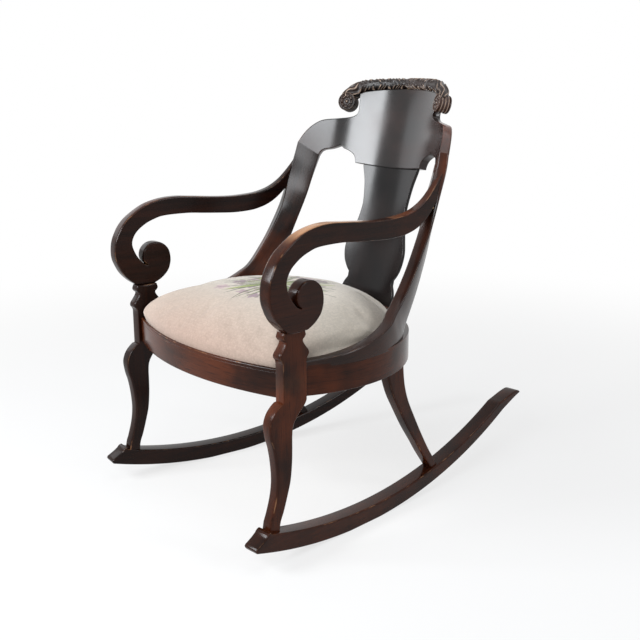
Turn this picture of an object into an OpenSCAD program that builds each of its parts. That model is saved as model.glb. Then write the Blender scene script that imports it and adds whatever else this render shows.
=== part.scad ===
// Scroll-arm rocking chair with a drop-in upholstered seat.
// The right side of the chair is +X, the chair faces -Y, and Z is up from the floor.
// Every piece is laid out from the line where the rockers touch the floor.

/* [Seat frame] */
// Outer radius of the round seat frame, in plan
seat_r = 300; // [285:1:320]
// How far the middle of the round frame lies ahead of the floor contact
seat_ahead = 46; // [36:1:56]
// Thickness of the seat rails
rail_t = 25; // [22:1:28]
// Height of the seat rails
rail_h = 60; // [52:1:70]
// Height of the rails' lower edge above the floor
rail_base = 318; // [300:1:335]
// Radius of the bowed front rail
front_r = 680; // [600:5:800]
// How far the front rail's face lies ahead of the front legs' axis, where it meets them
front_set = 20; // [17:0.5:23]
// Height of the front rail, up to the top of its lip
front_rail_h = 57; // [50:1:64]
// Thickness of the lip that keeps the drop-in seat from sliding forward
lip_t = 6; // [5:0.5:8]

/* [Rockers] */
// Radius of the rockers' curve
rocker_r = 1000; // [900:10:1200]
// Thickness of the rockers
rocker_t = 36; // [32:1:40]
// Depth of the rockers at the floor contact
rocker_d = 34.5; // [31:0.5:38]
// Depth that the rockers lose by the start of the tail
rocker_thin = 6.5; // [4:0.5:9]
// Reach of the curve ahead of the floor contact
rocker_front = 297; // [294:1:306]
// Reach of the curve behind the floor contact, up to the tail
rocker_back = 472; // [455:1:490]
// Length of the flattened tail
tail_len = 83; // [60:1:100]
// How far the rockers stand out past the front legs, at the legs' feet
rocker_proud = 10; // [7:0.5:13]
// Angle by which each rocker closes in toward the back
rocker_splay = 5.1; // [4.4:0.1:5.6]
// Length of the worn flat where a rocker touches the floor
contact_len = 88; // [84:1:94]

/* [Legs] */
// Thickness of the front legs
leg_t = 25; // [22:1:28]
// How far the front legs stand out past the side rails
leg_proud = 2; // [1:0.5:3]
// How far the front legs' axis lies ahead of the floor contact
leg_ahead = 193.5; // [190:0.5:197]
// Depth of the square block that takes the seat rails
block_d = 55; // [50:1:60]
// Height of that block above the rails' upper edge
block_rise = 12; // [8:1:16]
// Height of the turned-looking neck above the block
neck_h = 58; // [50:1:66]
// Thickness of the rear legs
rear_leg_t = 25; // [22:1:28]
// How far the rear legs' outer faces lie inside the reach of the round frame
rear_leg_inset = 40; // [38:1:42]
// How far behind the floor contact the rear legs start under the frame
rear_leg_start = 62; // [58:1:66]
// How far behind the floor contact the rear legs meet the rockers
rear_leg_reach = 222; // [210:1:234]

/* [Arms] */
// Thickness of the arms
arm_t = 29; // [26:1:32]
// Height of the arm's top over its seat on the leg
arm_rise = 190; // [180:1:200]
// How far the arms stand out past the front legs
arm_proud = 9.5; // [7:0.5:12]
// How far the arms' outer faces stand out past the stiles' edges, where they meet
arm_meet = 15; // [13:0.5:17]
// Thickness of the arm where it dies into the stile
arm_tail_t = 24; // [22:1:26]

/* [Back] */
// Height of the back above the seat rails
back_h = 482; // [470:1:500]
// Angle of the back from upright
back_rake = 14; // [13.4:0.2:14.6]
// Radius of the back's hollow front face
back_r = 338; // [330:1:346]
// How far the foot of the back's face lies inside the round frame's reach
back_inset = 23; // [22:0.5:25]
// Thickness of the stiles
stile_t = 25; // [23:0.5:27]
// Thickness of the crest rail
crest_t = 20; // [18:0.5:23]
// Half the width of the splat at its widest
splat_half = 96; // [85:1:110]
// Thickness of the splat
splat_t = 9; // [8:0.5:12]
// How far the splat's face lies behind the crest's
splat_inset = 8; // [6:0.5:9]
// Height of the splat's shoe above the rear rail
shoe_h = 14; // [10:1:18]

/* [Carved cap] */
// Height of the cap on the crest
cap_h = 25; // [20:0.5:28]
// How far the cap stands out in front of the crest
cap_front = 9; // [6:0.5:12]
// Radius of the scroll at each end of the cap
scroll_r = 22; // [19:0.5:24]
// Gap between the scrolls and the sides of the crest's raised middle
scroll_gap = 3; // [2:0.5:5]

/* [Drop-in seat] */
// Play between the seat and the frame round it
seat_play = 7; // [6:0.5:9]
// Play between the seat and the front lip
front_play = 2; // [1.5:0.5:3]
// Play between the seat and the front legs
leg_play = 5; // [4:0.5:7]
// Height of the seat's frame rails
slip_h = 18; // [15:0.5:21]
// Width of the seat's frame rails
slip_w = 42; // [36:1:48]
// Depth that the seat drops into the chair's frame
seat_drop = 19.5; // [18:0.5:22]
// Height of the padded crown above the chair's rails
crown_h = 84; // [66:1:90]
// Thickness of the needlework cover
cover_t = 1.2; // [1:0.1:1.6]
// Width of the cover turned under the seat's frame
fold_w = 30; // [28:1:34]
// Width of the webbing bands
web_w = 50; // [40:1:60]
// Thickness of the webbing
web_t = 2; // [1.5:0.5:2.5]
// Thickness of the burlap over the webbing
burlap_t = 0.8; // [0.6:0.1:1.2]
// Diameter of the tack heads
tack_d = 7; // [5:0.5:8]

/* [Joinery] */
// Diameter of the dowels in the seat frame and the legs
dowel_d = 8; // [7:0.5:9]
// Length of those dowels
dowel_l = 40; // [34:1:44]
// Diameter of the dowels in the scarfs and under the cap
thin_dowel_d = 6; // [5:0.5:7]
// Length of those dowels
thin_dowel_l = 30; // [24:1:34]
// Height of the corner blocks
corner_h = 38; // [34:1:40]
// Diameter of the screws in the corner blocks
screw_d = 4; // [3.5:0.5:5]
// Length of those screws
screw_l = 45; // [40:1:50]

/* [Hidden] */

rail_top = rail_base + rail_h;
block_top = rail_top + block_rise;
leg_top = block_top + neck_h;
lip_top = rail_base + front_rail_h;
seat_base = rail_top - seat_drop;
// The front legs stand against the side rails, and the front rail, rockers and arms follow them
leg_back_y = -leg_ahead + block_d / 2;
leg_half = sqrt(seat_r * seat_r - pow(leg_back_y + seat_ahead, 2)) + leg_proud - leg_t;
front_reach = leg_ahead + front_set + front_r - sqrt(front_r * front_r - leg_half * leg_half);
front_yc = front_r - front_reach;
foot_share = 0.94;
foot_y = -leg_ahead - foot_share * block_d;
rocker_half = leg_half + leg_t + rocker_proud + foot_y * sin(rocker_splay);
rear_leg_half = seat_r - rear_leg_inset;
back_reach = seat_r - seat_ahead - back_inset;
crest_reach_share = 0.78;
crest_half = crest_reach_share * seat_r;
// Clearance round a dowel in its bore, and between the seat and what carries it
fit = 0.15;
soft_gap = 0.3;
// Overrun of every cut
over = 1;

mahogany = "#3a221b";
dark_mahogany = "#2a1a16";
carved = "#4a3a30";
pine = "#b08a5a";
beech = "#c9a878";
steel = "#7d7f82";
jute = "#b59b6c";
cotton = "#e4ddcf";
needlework = "#d9c4b4";

// Smooth curve through points, with n steps between each pair
function blend4(a, b, c, d, t) =
    (2 * b + (c - a) * t + (2 * a - 5 * b + 4 * c - d) * t * t + (3 * b - a - 3 * c + d) * t * t * t) / 2;
function smooth(p, n) = [
    for (i = [0:len(p) - 2], k = [0:n - 1])
        blend4(p[max(i - 1, 0)], p[i], p[i + 1], p[min(i + 2, len(p) - 1)], k / n),
    p[len(p) - 1]
];
function scaled(p, sx, sz) = [for (q = p) [q[0] * sx, q[1] * sz]];
function moved(p, x, z) = [for (q = p) [q[0] + x, q[1] + z]];
function reversed(p) = [for (i = [len(p) - 1:-1:0]) p[i]];

// Closed skin over rings of points, with flat ends
module skin(rings) {
    n = len(rings[0]);
    m = len(rings);
    sides = [
        for (i = [0:m - 2], j = [0:n - 1])
            let (a = i * n + j, b = i * n + (j + 1) % n)
                each [[a, b + n, b], [a, a + n, b + n]]
    ];
    start_cap = [for (j = [1:n - 2]) [0, j, j + 1]];
    end_cap = [for (j = [1:n - 2]) [(m - 1) * n, (m - 1) * n + j + 1, (m - 1) * n + j]];
    polyhedron([for (r = rings) each r], concat(sides, start_cap, end_cap), convexity = 6);
}

// A board of thickness t standing on its edge: its outline is (along Y, up Z),
// its outer face passes x = half at y = 0 and it closes in by splay toward the back
module board(outline, t, half, splay) {
    translate([half, 0, 0]) rotate([0, 0, splay]) translate([-t, 0, 0])
        rotate([90, 0, 90]) linear_extrude(height = t) polygon(outline);
}

module both_sides() {
    children();
    mirror([1, 0, 0]) children();
}

// The chair's own frame has its origin under the middle of its length
toe_nose_share = 0.09;
rocker_reach = rocker_back + tail_len - rocker_front - toe_nose_share * rocker_d;
middle_y = (rocker_reach * cos(rocker_splay) - rocker_t * sin(rocker_splay)) / 2;
module placed() {
    translate([0, -middle_y, 0]) children();
}

// Rockers
contact_rise = rocker_r - sqrt(rocker_r * rocker_r - contact_len * contact_len / 4);
function arc_z(y) = rocker_r - sqrt(rocker_r * rocker_r - y * y) - contact_rise;
function rocker_top(y) = arc_z(y) + rocker_d - rocker_thin * y / rocker_back;
front_steps = 16;
back_steps = 26;
contact_end = contact_len / 2;
// The toe's outline from its lower corner, and the tail's from the end of the curve
toe_shares = [
    [-0.06, 0.08], [-toe_nose_share, 0.17], [-0.03, 0.28], [0.2, 0.41], [0.45, 0.56], [0.67, 0.72]
];
bead_shares = [[0.72, 0.79], [0.80, 0.86], [0.90, 0.9], [1.0, 0.9]];
tail_shares = [
    [0.2, 0.105], [0.4, 0.19], [0.7, 0.312], [0.98, 0.42], [1, 0.45], [0.97, 0.49], [0.88, 0.515],
    [0.77, 0.51], [0.6, 0.483], [0.4, 0.437], [0.2, 0.385]
];
toe_z = arc_z(rocker_front);
top_end = rocker_d - rocker_front;
top_steps = front_steps + back_steps;
top_points = [
    for (i = [0:top_steps])
        let (y = rocker_back + (top_end - rocker_back) * i / top_steps) [y, rocker_top(y)]
];
module rocker() {
    bottom = [
        for (i = [0:front_steps])
            let (y = -rocker_front + (rocker_front - contact_end) * i / front_steps) [y, arc_z(y)],
        for (i = [0:back_steps])
            let (y = contact_end + (rocker_back - contact_end) * i / back_steps) [y, arc_z(y)]
    ];
    tail = moved(scaled(tail_shares, tail_len, tail_len), rocker_back, arc_z(rocker_back));
    toe = moved(scaled(concat(toe_shares, bead_shares), rocker_d, rocker_d), -rocker_front, toe_z);
    difference() {
        board(concat(bottom, tail, top_points, reversed(toe)), rocker_t, rocker_half, rocker_splay);
        right_leg_dowels(fit);
    }
}

// Front legs: a scrolled lower leg, the rail block and a baluster neck.
// Shares are of the block's depth, from the leg's axis, and of the height below or above the block
leg_front_shares = [
    [-1.18, 0.2], [-1.13, 0.262], [-1.02, 0.315], [-0.86, 0.412], [-0.79, 0.51], [-0.825, 0.616],
    [-0.915, 0.715], [-1.03, 0.787], [-1.08, 0.855], [-1.03, 0.897], [-0.92, 0.934], [-0.755, 0.966],
    [-0.59, 0.988]
];
leg_back_shares = [
    [0.5, 0.985], [0.43, 0.96], [0.155, 0.905], [-0.045, 0.848], [-0.1, 0.786], [-0.105, 0.7],
    [-0.12, 0.613], [-0.19, 0.503], [-0.335, 0.409], [-0.5, 0.318], [-0.63, 0.262], [-0.7, 0.2]
];
neck_shares = [
    [0.5, 0], [0.55, 0.1], [0.622, 0.19], [0.61, 0.31], [0.5, 0.45], [0.39, 0.6], [0.37, 0.69],
    [0.43, 0.74], [0.49, 0.83], [0.47, 0.93], [0.43, 1]
];
module front_leg() {
    lower_front = smooth(moved(scaled(leg_front_shares, block_d, rail_base), -leg_ahead, 0), 3);
    lower_back = smooth(moved(scaled(leg_back_shares, block_d, rail_base), -leg_ahead, 0), 3);
    neck = smooth(moved(scaled(neck_shares, block_d, neck_h), 0, block_top), 3);
    front_side = [for (q = neck) [-leg_ahead - q[0], q[1]]];
    back_side = [for (q = neck) [-leg_ahead + q[0], q[1]]];
    quirk = block_d / 18;
    block_front = [
        [-leg_ahead - block_d / 2, rail_base - quirk],
        [-leg_ahead - block_d / 2, rail_base]
    ];
    difference() {
        board(
            concat(lower_front, block_front, front_side, reversed(back_side), lower_back),
            leg_t, leg_half + leg_t, 0
        );
        rocker_blank();
        right_leg_dowels(fit);
        right_rail_dowels(fit);
        right_arm_dowels(fit);
    }
}

// The rocker's top and all below it, which the legs are cut to
module rocker_blank() {
    spare = rocker_t / 2;
    translate([spare * cos(rocker_splay), spare * sin(rocker_splay), 0])
        board(
            concat([[top_end, -over], [rocker_back, -over]], top_points),
            2 * rocker_t, rocker_half, rocker_splay
        );
}

// Rear legs: raked boards. Shares run from the frame to the rocker and up to the rails' lower edge
rear_front_shares = [
    [0, 1], [0.075, 0.89], [0.15, 0.8], [0.29, 0.68], [0.455, 0.545], [0.65, 0.406], [0.78, 0.31],
    [0.99, 0.17], [1.03, 0.14]
];
rear_back_shares = [
    [0.34, 1], [0.38, 0.86], [0.46, 0.74], [0.595, 0.61], [0.745, 0.475], [0.92, 0.33], [1.1, 0.2],
    [1.17, 0.14]
];
module rear_leg() {
    reach = rear_leg_reach - rear_leg_start;
    front_edge = smooth(moved(scaled(rear_front_shares, reach, rail_base), rear_leg_start, 0), 3);
    back_edge = smooth(moved(scaled(rear_back_shares, reach, rail_base), rear_leg_start, 0), 3);
    difference() {
        board(concat(front_edge, reversed(back_edge)), rear_leg_t, rear_leg_half, rocker_splay);
        rocker_blank();
        right_leg_dowels(fit);
    }
}

// Seat rails: a bowed front rail and a round tub of two side rails and a rear one
rear_joint_angle = 49;
rebate_z = seat_base - soft_gap;
module at_seat() {
    translate([0, -seat_ahead, 0]) children();
}
module tub(inner, outer, z0, z1) {
    at_seat() translate([0, 0, z0]) difference() {
        cylinder(h = z1 - z0, r = outer, $fn = 180);
        translate([0, 0, -over]) cylinder(h = z1 - z0 + 2 * over, r = inner, $fn = 180);
    }
}
// A wedge of the tub between two angles, from straight ahead of +X
module wedge(a0, a1, z0, z1, reach) {
    steps = 4;
    at_seat() translate([0, 0, z0]) linear_extrude(height = z1 - z0) polygon([
        [0, 0], for (i = [0:steps]) let (a = a0 + (a1 - a0) * i / steps) [reach * cos(a), reach * sin(a)]
    ]);
}
leg_back_angle = asin((leg_back_y + seat_ahead) / seat_r);
// Angle by which the side rails are drawn past the legs before they are cut square to them
side_overrun = 6;
module side_rail() {
    difference() {
        intersection() {
            tub(seat_r - rail_t, seat_r, rail_base, rail_top);
            wedge(
                leg_back_angle - side_overrun, rear_joint_angle,
                rail_base - over, rail_top + over, 2 * seat_r
            );
            translate([0, leg_back_y, 0]) cube([2 * seat_r, 2 * seat_r, rail_top + over]);
        }
        right_leg_dowels(fit);
        right_rail_dowels(fit);
        right_stile_dowels(fit);
        right_screws(fit);
    }
}
module rear_rail() {
    difference() {
        intersection() {
            tub(seat_r - rail_t, seat_r, rail_base, rail_top);
            wedge(rear_joint_angle, 180 - rear_joint_angle, rail_base - over, rail_top + over, 2 * seat_r);
        }
        both_sides() right_rail_dowels(fit);
    }
}
module front_rail() {
    difference() {
        intersection() {
            translate([0, front_yc, rail_base]) cylinder(h = front_rail_h, r = front_r, $fn = 360);
            translate([-leg_half, -front_reach - over, 0])
                cube([2 * leg_half, front_reach, lip_top + over]);
        }
        translate([0, front_yc, 0]) cylinder(h = lip_top + over, r = front_r - rail_t, $fn = 360);
        translate([0, front_yc, rebate_z]) cylinder(h = seat_r, r = front_r - lip_t, $fn = 360);
        both_sides() {
            right_rail_dowels(fit);
            right_screws(fit);
        }
    }
}

// Corner blocks, glued and screwed inside the frame, which also carry the drop-in seat
rear_block_angle = 31.5;
rear_block_d = 47;
rear_block_w = 120;
front_block_d = 58;
front_block_w = 150;
front_block_angle = -40;
block_r = seat_r - rail_t;
module rear_corner_block() {
    difference() {
        intersection() {
            at_seat() rotate([0, 0, rear_block_angle])
                translate([block_r - rear_block_d, -rear_block_w / 2, rebate_z - corner_h])
                    cube([2 * rear_block_d, rear_block_w, corner_h]);
            at_seat() cylinder(h = rail_top, r = block_r, $fn = 180);
        }
        right_leg_dowels(fit);
        right_screws(fit);
    }
}
front_block_y = front_yc - sqrt((front_r - rail_t) * (front_r - rail_t) - leg_half * leg_half);
module front_corner_block() {
    difference() {
        intersection() {
            translate([leg_half, front_block_y, rebate_z - corner_h]) rotate([0, 0, front_block_angle])
                translate([-front_block_d, -front_block_w / 2, 0])
                    cube([2 * front_block_d, front_block_w, corner_h]);
            translate([0, front_yc, 0]) cylinder(h = rail_top, r = front_r - rail_t, $fn = 360);
            union() {
                translate([0, -seat_r, 0]) cube([leg_half, seat_r + leg_back_y, rail_top]);
                intersection() {
                    at_seat() cylinder(h = rail_top, r = block_r, $fn = 180);
                    translate([0, leg_back_y, 0]) cube([seat_r, seat_r, rail_top]);
                }
            }
        }
        right_screws(fit);
    }
}

// Screws: each lies along its own +Z, with its head's underside at zero
head_d = 8;
head_h = 3;
screw_z = rebate_z - corner_h / 2;
rear_screw_turns = [-7, 7];
front_screw_share = 0.7;
side_screw_share = 0.6;
module right_screws(extra) {
    deep = extra > 0 ? front_block_d : 0;
    for (turn = rear_screw_turns)
        at_seat() rotate([0, 0, rear_block_angle + turn])
            translate([seat_r - screw_l - head_h, 0, screw_z]) rotate([0, 90, 0]) screw(extra, deep);
    // One into the front rail and one into the side rail
    translate([leg_half - front_screw_share * block_d, front_block_y - rail_t + screw_l + head_h, screw_z])
        rotate([90, 0, 0]) screw(extra, deep);
    translate([seat_r - screw_l - side_screw_share * block_d, leg_back_y + head_d, screw_z])
        rotate([0, 90, 0]) screw(extra, deep);
}
module screw(extra, deep) {
    translate([0, 0, -head_h - deep]) cylinder(h = head_h + deep, d = head_d + 2 * extra, $fn = 24);
    cylinder(h = screw_l + extra, d = screw_d + 2 * extra, $fn = 24);
}

// Stiles: one sweep from the front leg along the side rail and up to the crest.
// Each row holds the upper edge's x and y from the middle of the seat and its height, then the
// lower edge's, the thickness, and the turn of the section in plan, in degrees
stile_shares = [
    [0.86, -0.43, 0.0135, 0.86, -0.43, 0, 1, -26],
    [0.873, -0.4, 0.0135, 0.873, -0.4, 0, 1, -24.6],
    [0.937, -0.213, 0.025, 0.94, -0.193, 0, 1, -12.8],
    [0.959, -0.047, 0.04, 0.96, -0.013, 0, 1, -2.8],
    [0.952, 0.12, 0.062, 0.937, 0.21, 0, 1, 7.2],
    [0.921, 0.27, 0.095, 0.873, 0.377, 0, 1, 16],
    [0.88, 0.36, 0.131, 0.817, 0.477, 0.004, 1, 21],
    [0.853, 0.443, 0.17, 0.777, 0.543, 0.041, 1, 22],
    [0.836, 0.548, 0.253, 0.753, 0.647, 0.141, 1, 21],
    [0.823, 0.635, 0.336, 0.742, 0.72, 0.237, 1.02, 21],
    [0.809, 0.742, 0.461, 0.715, 0.813, 0.373, 1.08, 22],
    [0.807, 0.813, 0.585, 0.667, 0.9, 0.512, 1, 34],
    [0.802, 0.877, 0.699, 0.648, 0.983, 0.633, 0.82, 43],
    [0.793, 0.907, 0.761, 0.637, 1.027, 0.693, 0.78, 45]
];
function stile_row(r) = [
    [r[0] * seat_r, r[1] * seat_r - seat_ahead, r[2] * back_h + rail_top],
    [r[3] * seat_r, r[4] * seat_r - seat_ahead, max(r[5], 0) * back_h + rail_top],
    r[6] * stile_t, r[7]
];

// Arms: a long S with a volute that curls back over the leg. Shares are of the arm's length,
// from the leg's axis, and of its rise above the leg
arm_top_shares = [
    [0.882, 1.358], [0.818, 1.195], [0.776, 1.105], [0.729, 1.037], [0.682, 0.995], [0.622, 0.966],
    [0.516, 0.95], [0.41, 0.958], [0.282, 0.984], [0.186, 1], [0.101, 0.984], [0.018, 0.926],
    [-0.059, 0.811], [-0.099, 0.716], [-0.124, 0.616], [-0.139, 0.526], [-0.145, 0.432],
    [-0.144, 0.337], [-0.133, 0.253], [-0.11, 0.147], [-0.076, 0.058], [-0.043, 0]
];
volute_shares = [
    [0.051, 0], [0.088, 0.047], [0.122, 0.126], [0.137, 0.216], [0.139, 0.305], [0.129, 0.395],
    [0.101, 0.463], [0.065, 0.487], [0.029, 0.468], [0.003, 0.405], [-0.005, 0.326], [0.003, 0.263],
    [0.02, 0.224]
];
arm_under_shares = [
    [0.02, 0.224], [-0.003, 0.253], [-0.029, 0.326], [-0.046, 0.405], [-0.055, 0.484],
    [-0.049, 0.553], [-0.031, 0.621], [-0.005, 0.674], [0.027, 0.721], [0.063, 0.755],
    [0.099, 0.779], [0.154, 0.789], [0.246, 0.789], [0.324, 0.774], [0.41, 0.758], [0.505, 0.745],
    [0.597, 0.753], [0.648, 0.774], [0.695, 0.808], [0.741, 0.863], [0.788, 0.947], [0.835, 1.053]
];
arm_head_share = 0.2;
arm_slim_share = 0.45;
arm_tail_share = 0.9;
// The arm runs from the leg to the stile, and is drawn on past it by the rest of its outline
arm_meet_share = 0.8328;
arm_end = stile_row(stile_shares[11])[0];
arm_run = arm_end[1] + leg_ahead;
arm_len = arm_run / arm_meet_share;
leg_side = leg_half + leg_t + arm_proud;
arm_splay = atan2(leg_side - arm_end[0] - arm_meet, arm_run);
arm_half = leg_side - leg_ahead * sin(arm_splay);
module arm() {
    top_edge = smooth(moved(scaled(arm_top_shares, arm_len, arm_rise), -leg_ahead, leg_top), 3);
    volute = smooth(moved(scaled(volute_shares, arm_len, arm_rise), -leg_ahead, leg_top), 3);
    under = smooth(moved(scaled(arm_under_shares, arm_len, arm_rise), -leg_ahead, leg_top), 3);
    tail_y = arm_tail_share * arm_len - leg_ahead;
    slim_y = arm_slim_share * arm_len - leg_ahead;
    head_y = -arm_head_share * arm_len - leg_ahead;
    difference() {
        intersection() {
            board(
                concat(top_edge, volute, [for (i = [1:len(under) - 1]) under[i]]),
                arm_t, arm_half, arm_splay
            );
            translate([arm_half, 0, leg_top - over]) rotate([0, 0, arm_splay])
                linear_extrude(height = 2 * arm_rise) polygon([
                    [-arm_t - over, head_y], [over, head_y], [over, tail_y], [-arm_tail_t, tail_y],
                    [-arm_t, slim_y], [-arm_t - over, slim_y]
                ]);
        }
        stile_blank();
        right_arm_dowels(fit);
    }
}

// Stiles: eight-sided rings along the two edges
edge_round = 3;
function stile_ring(s) =
    let (
        f = s[0], b = s[1], l = norm(b - f), d = (b - f) / l, a = [cos(s[3]), sin(s[3]), 0],
        h = s[2] / 2, c = min(edge_round, l * 0.3)
    ) [
        for (q = [
            [-h + c, 0], [h - c, 0], [h, c], [h, l - c], [h - c, l], [-h + c, l], [-h, l - c], [-h, c]
        ]) f + a * q[0] + d * q[1]
    ];
stile_rows = smooth(stile_shares, 3);
scarf = stile_row(stile_shares[len(stile_shares) - 1]);
module stile_blank() {
    skin([for (r = stile_rows) stile_ring(stile_row(r))]);
}
module stile() {
    difference() {
        stile_blank();
        translate([0, leg_back_y - seat_r, 0]) cube([2 * seat_r, seat_r, leg_top]);
        right_stile_dowels(fit);
        right_arm_dowels(fit);
        right_crest_dowels(fit);
    }
}
// The scarf's own frame: X along its thickness, Y down its length, Z out of the stile
scarf_axis = scarf[1] - scarf[0];
scarf_turn = scarf[3];
scarf_tilt = atan2(scarf_axis[2], cos(scarf_turn) * scarf_axis[1] - sin(scarf_turn) * scarf_axis[0]);
module at_scarf() {
    translate(scarf[0]) rotate([0, 0, scarf_turn]) rotate([scarf_tilt, 0, 0]) children();
}

// The back's own frame leans with the rake: its Z axis is the axis of the hollow front face
back_lift = 2;
back_base = rail_top + back_lift;
module on_back() {
    translate([0, back_reach, back_base]) rotate([-back_rake, 0, 0]) translate([0, -back_r, 0]) children();
}
module back_shell(inner, outer, h0, h1) {
    translate([0, 0, h0]) difference() {
        cylinder(h = h1 - h0, r = outer, $fn = 240);
        translate([0, 0, -over]) cylinder(h = h1 - h0 + 2 * over, r = inner, $fn = 240);
    }
}
// A prism through the back of an outline drawn as (across, up the back)
module back_prism(outline) {
    translate([0, 2 * back_r, 0]) rotate([90, 0, 0]) linear_extrude(height = 2 * back_r) polygon(outline);
}
function mirrored(p) = [for (i = [len(p) - 1:-1:0]) [-p[i][0], p[i][1]]];

// Crest rail: shares are of its half width and of the height of its top up the back
crest_rise_share = 1.05;
crest_h = back_h * crest_rise_share;
crest_upper_shares = [
    [0, 1], [0.235, 0.995], [0.376, 0.987], [0.485, 0.976], [0.53, 0.964], [0.54, 0.945], [0.532, 0.905],
    [0.53, 0.88], [0.545, 0.864], [0.59, 0.852], [0.7, 0.839], [0.821, 0.824], [0.885, 0.805],
    [0.936, 0.775], [0.974, 0.745], [1.02, 0.697]
];
crest_lower_shares = [
    [0.84, 0.61], [0.815, 0.655], [0.798, 0.675], [0.769, 0.686], [0.71, 0.696], [0.665, 0.707],
    [0.632, 0.717], [0.595, 0.704], [0.538, 0.696], [0.487, 0.683], [0.462, 0.668], [0.447, 0.645],
    [0.256, 0.642], [0, 0.641]
];
tongue_h = 12;
tongue_half = 76;
tongue_t = 6;
function crest_side() = concat(
    smooth([for (i = [0:4]) crest_upper_shares[i]], 3),
    smooth([for (i = [5:15]) crest_upper_shares[i]], 3),
    smooth([for (i = [0:6]) crest_lower_shares[i]], 2),
    smooth([for (i = [7:11]) crest_lower_shares[i]], 2),
    [crest_lower_shares[12], crest_lower_shares[13]]
);
module crest_blank(past) {
    half = scaled(crest_side(), crest_half, crest_h);
    intersection() {
        back_shell(back_r, back_r + crest_t + past, crest_h / 2, crest_h + over);
        back_prism(concat(half, [for (i = [1:len(half) - 2]) mirrored(half)[i]]));
    }
}
module crest_rail() {
    difference() {
        on_back() crest_blank(0);
        both_sides() at_scarf() translate([-crest_half / 2, -crest_half / 2, -crest_half])
            cube([crest_half, crest_half, crest_half]);
        on_back() tongue(fit);
        both_sides() right_crest_dowels(fit);
        right_cap_dowels(fit);
    }
}

// Splat: a vase outline with its top tongued into the crest and its foot in a shoe
splat_shares = [
    [0.918, 0.635], [0.827, 0.582], [0.776, 0.535], [0.74, 0.481], [0.745, 0.444], [0.796, 0.388],
    [0.898, 0.33], [0.99, 0.278], [1, 0.237], [0.949, 0.194], [0.857, 0.162], [0.77, 0.142],
    [0.77, 0.118], [0.837, 0.097], [0.878, 0.076], [0.888, 0.055], [0.857, 0.026], [0.816, 0]
];
splat_face = back_r + splat_inset;
function crest_bottom() = crest_lower_shares[13][1] * crest_h;
module tongue(extra) {
    tongue_face = splat_face + (splat_t - tongue_t) / 2;
    intersection() {
        back_shell(
            tongue_face - extra, tongue_face + tongue_t + extra,
            crest_bottom() - tongue_h, crest_bottom() + tongue_h + extra
        );
        translate([-tongue_half - extra, 0, 0]) cube([2 * (tongue_half + extra), 2 * back_r, crest_h]);
    }
}
module splat() {
    half = concat(
        smooth([for (i = [0:11]) scaled(splat_shares, splat_half, crest_h)[i]], 3),
        smooth([for (i = [12:17]) scaled(splat_shares, splat_half, crest_h)[i]], 3)
    );
    difference() {
        union() {
            on_back() intersection() {
                back_shell(splat_face, splat_face + splat_t, 0, crest_bottom() + over);
                back_prism(concat(half, mirrored(half)));
            }
            on_back() tongue(0);
        }
        crest_under();
        translate([-seat_r, 0, 0]) cube([2 * seat_r, 2 * seat_r, rail_top + fit]);
    }
}
// What the splat's shoulders are cut to: everything above the crest's lower edge but its tongue
hair = 0.01;
module crest_under() {
    on_back() difference() {
        translate([-splat_half, 0, crest_bottom()]) cube([2 * splat_half, 2 * back_r, 2 * tongue_h]);
        tongue(hair);
    }
}
splat_foot_share = 0.89;
module splat_shoe() {
    shoe_half = splat_half + shoe_h / 2;
    difference() {
        intersection() {
            tub(seat_r - rail_t + 2 * over, seat_r - 2 * over, rail_top, rail_top + shoe_h);
            translate([-shoe_half, 0, rail_top]) cube([2 * shoe_half, seat_r, shoe_h]);
        }
        splat_slot();
    }
}
module splat_slot() {
    on_back() intersection() {
        back_shell(splat_face - fit, splat_face + splat_t + fit, -shoe_h, 3 * shoe_h);
        translate([-splat_foot_share * splat_half - fit, 0, -shoe_h])
            cube([2 * (splat_foot_share * splat_half + fit), 2 * back_r, 4 * shoe_h]);
    }
}

// Carved cap: a roll along the crest's top that ends in two scrolls
cap_top_shares = [
    [0, 1], [0.24, 0.98], [0.52, 0.87], [0.8, 0.62], [0.96, 0.14], [1.06, -0.45], [1.11, -1]
];
scroll_drop_share = 1.64;
plaque_share = 0.53;
scroll_half = plaque_share * crest_half + scroll_r + scroll_gap;
scroll_h = crest_h - scroll_drop_share * cap_h;
cap_inner = back_r - cap_front;
cap_outer = back_r + crest_t;
scroll_turn = asin(scroll_half / back_r);
// How far the scrolls stand out of the cap's face
scroll_step = 1.5;
module crest_cap() {
    top_line = smooth(moved(scaled(cap_top_shares, scroll_half, cap_h), 0, crest_h), 4);
    crest_line = scaled([for (i = [0:3]) crest_upper_shares[i]], crest_half, crest_h);
    under = concat(crest_line, [[scroll_half, scroll_h]]);
    half = concat(top_line, reversed([for (i = [1:len(under) - 1]) under[i]]));
    difference() {
        on_back() union() {
            intersection() {
                back_shell(cap_inner, cap_outer, crest_h / 2, crest_h + 2 * cap_h);
                back_prism(concat(half, [[0, crest_h]], mirrored(half)));
            }
            both_sides() rotate([0, 0, -scroll_turn]) translate([0, cap_outer - scroll_step, scroll_h])
                rotate([90, 0, 0]) cylinder(h = cap_outer - cap_inner, r = scroll_r, $fn = 48);
        }
        on_back() crest_blank(crest_t);
        right_cap_dowels(fit);
    }
}
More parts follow.
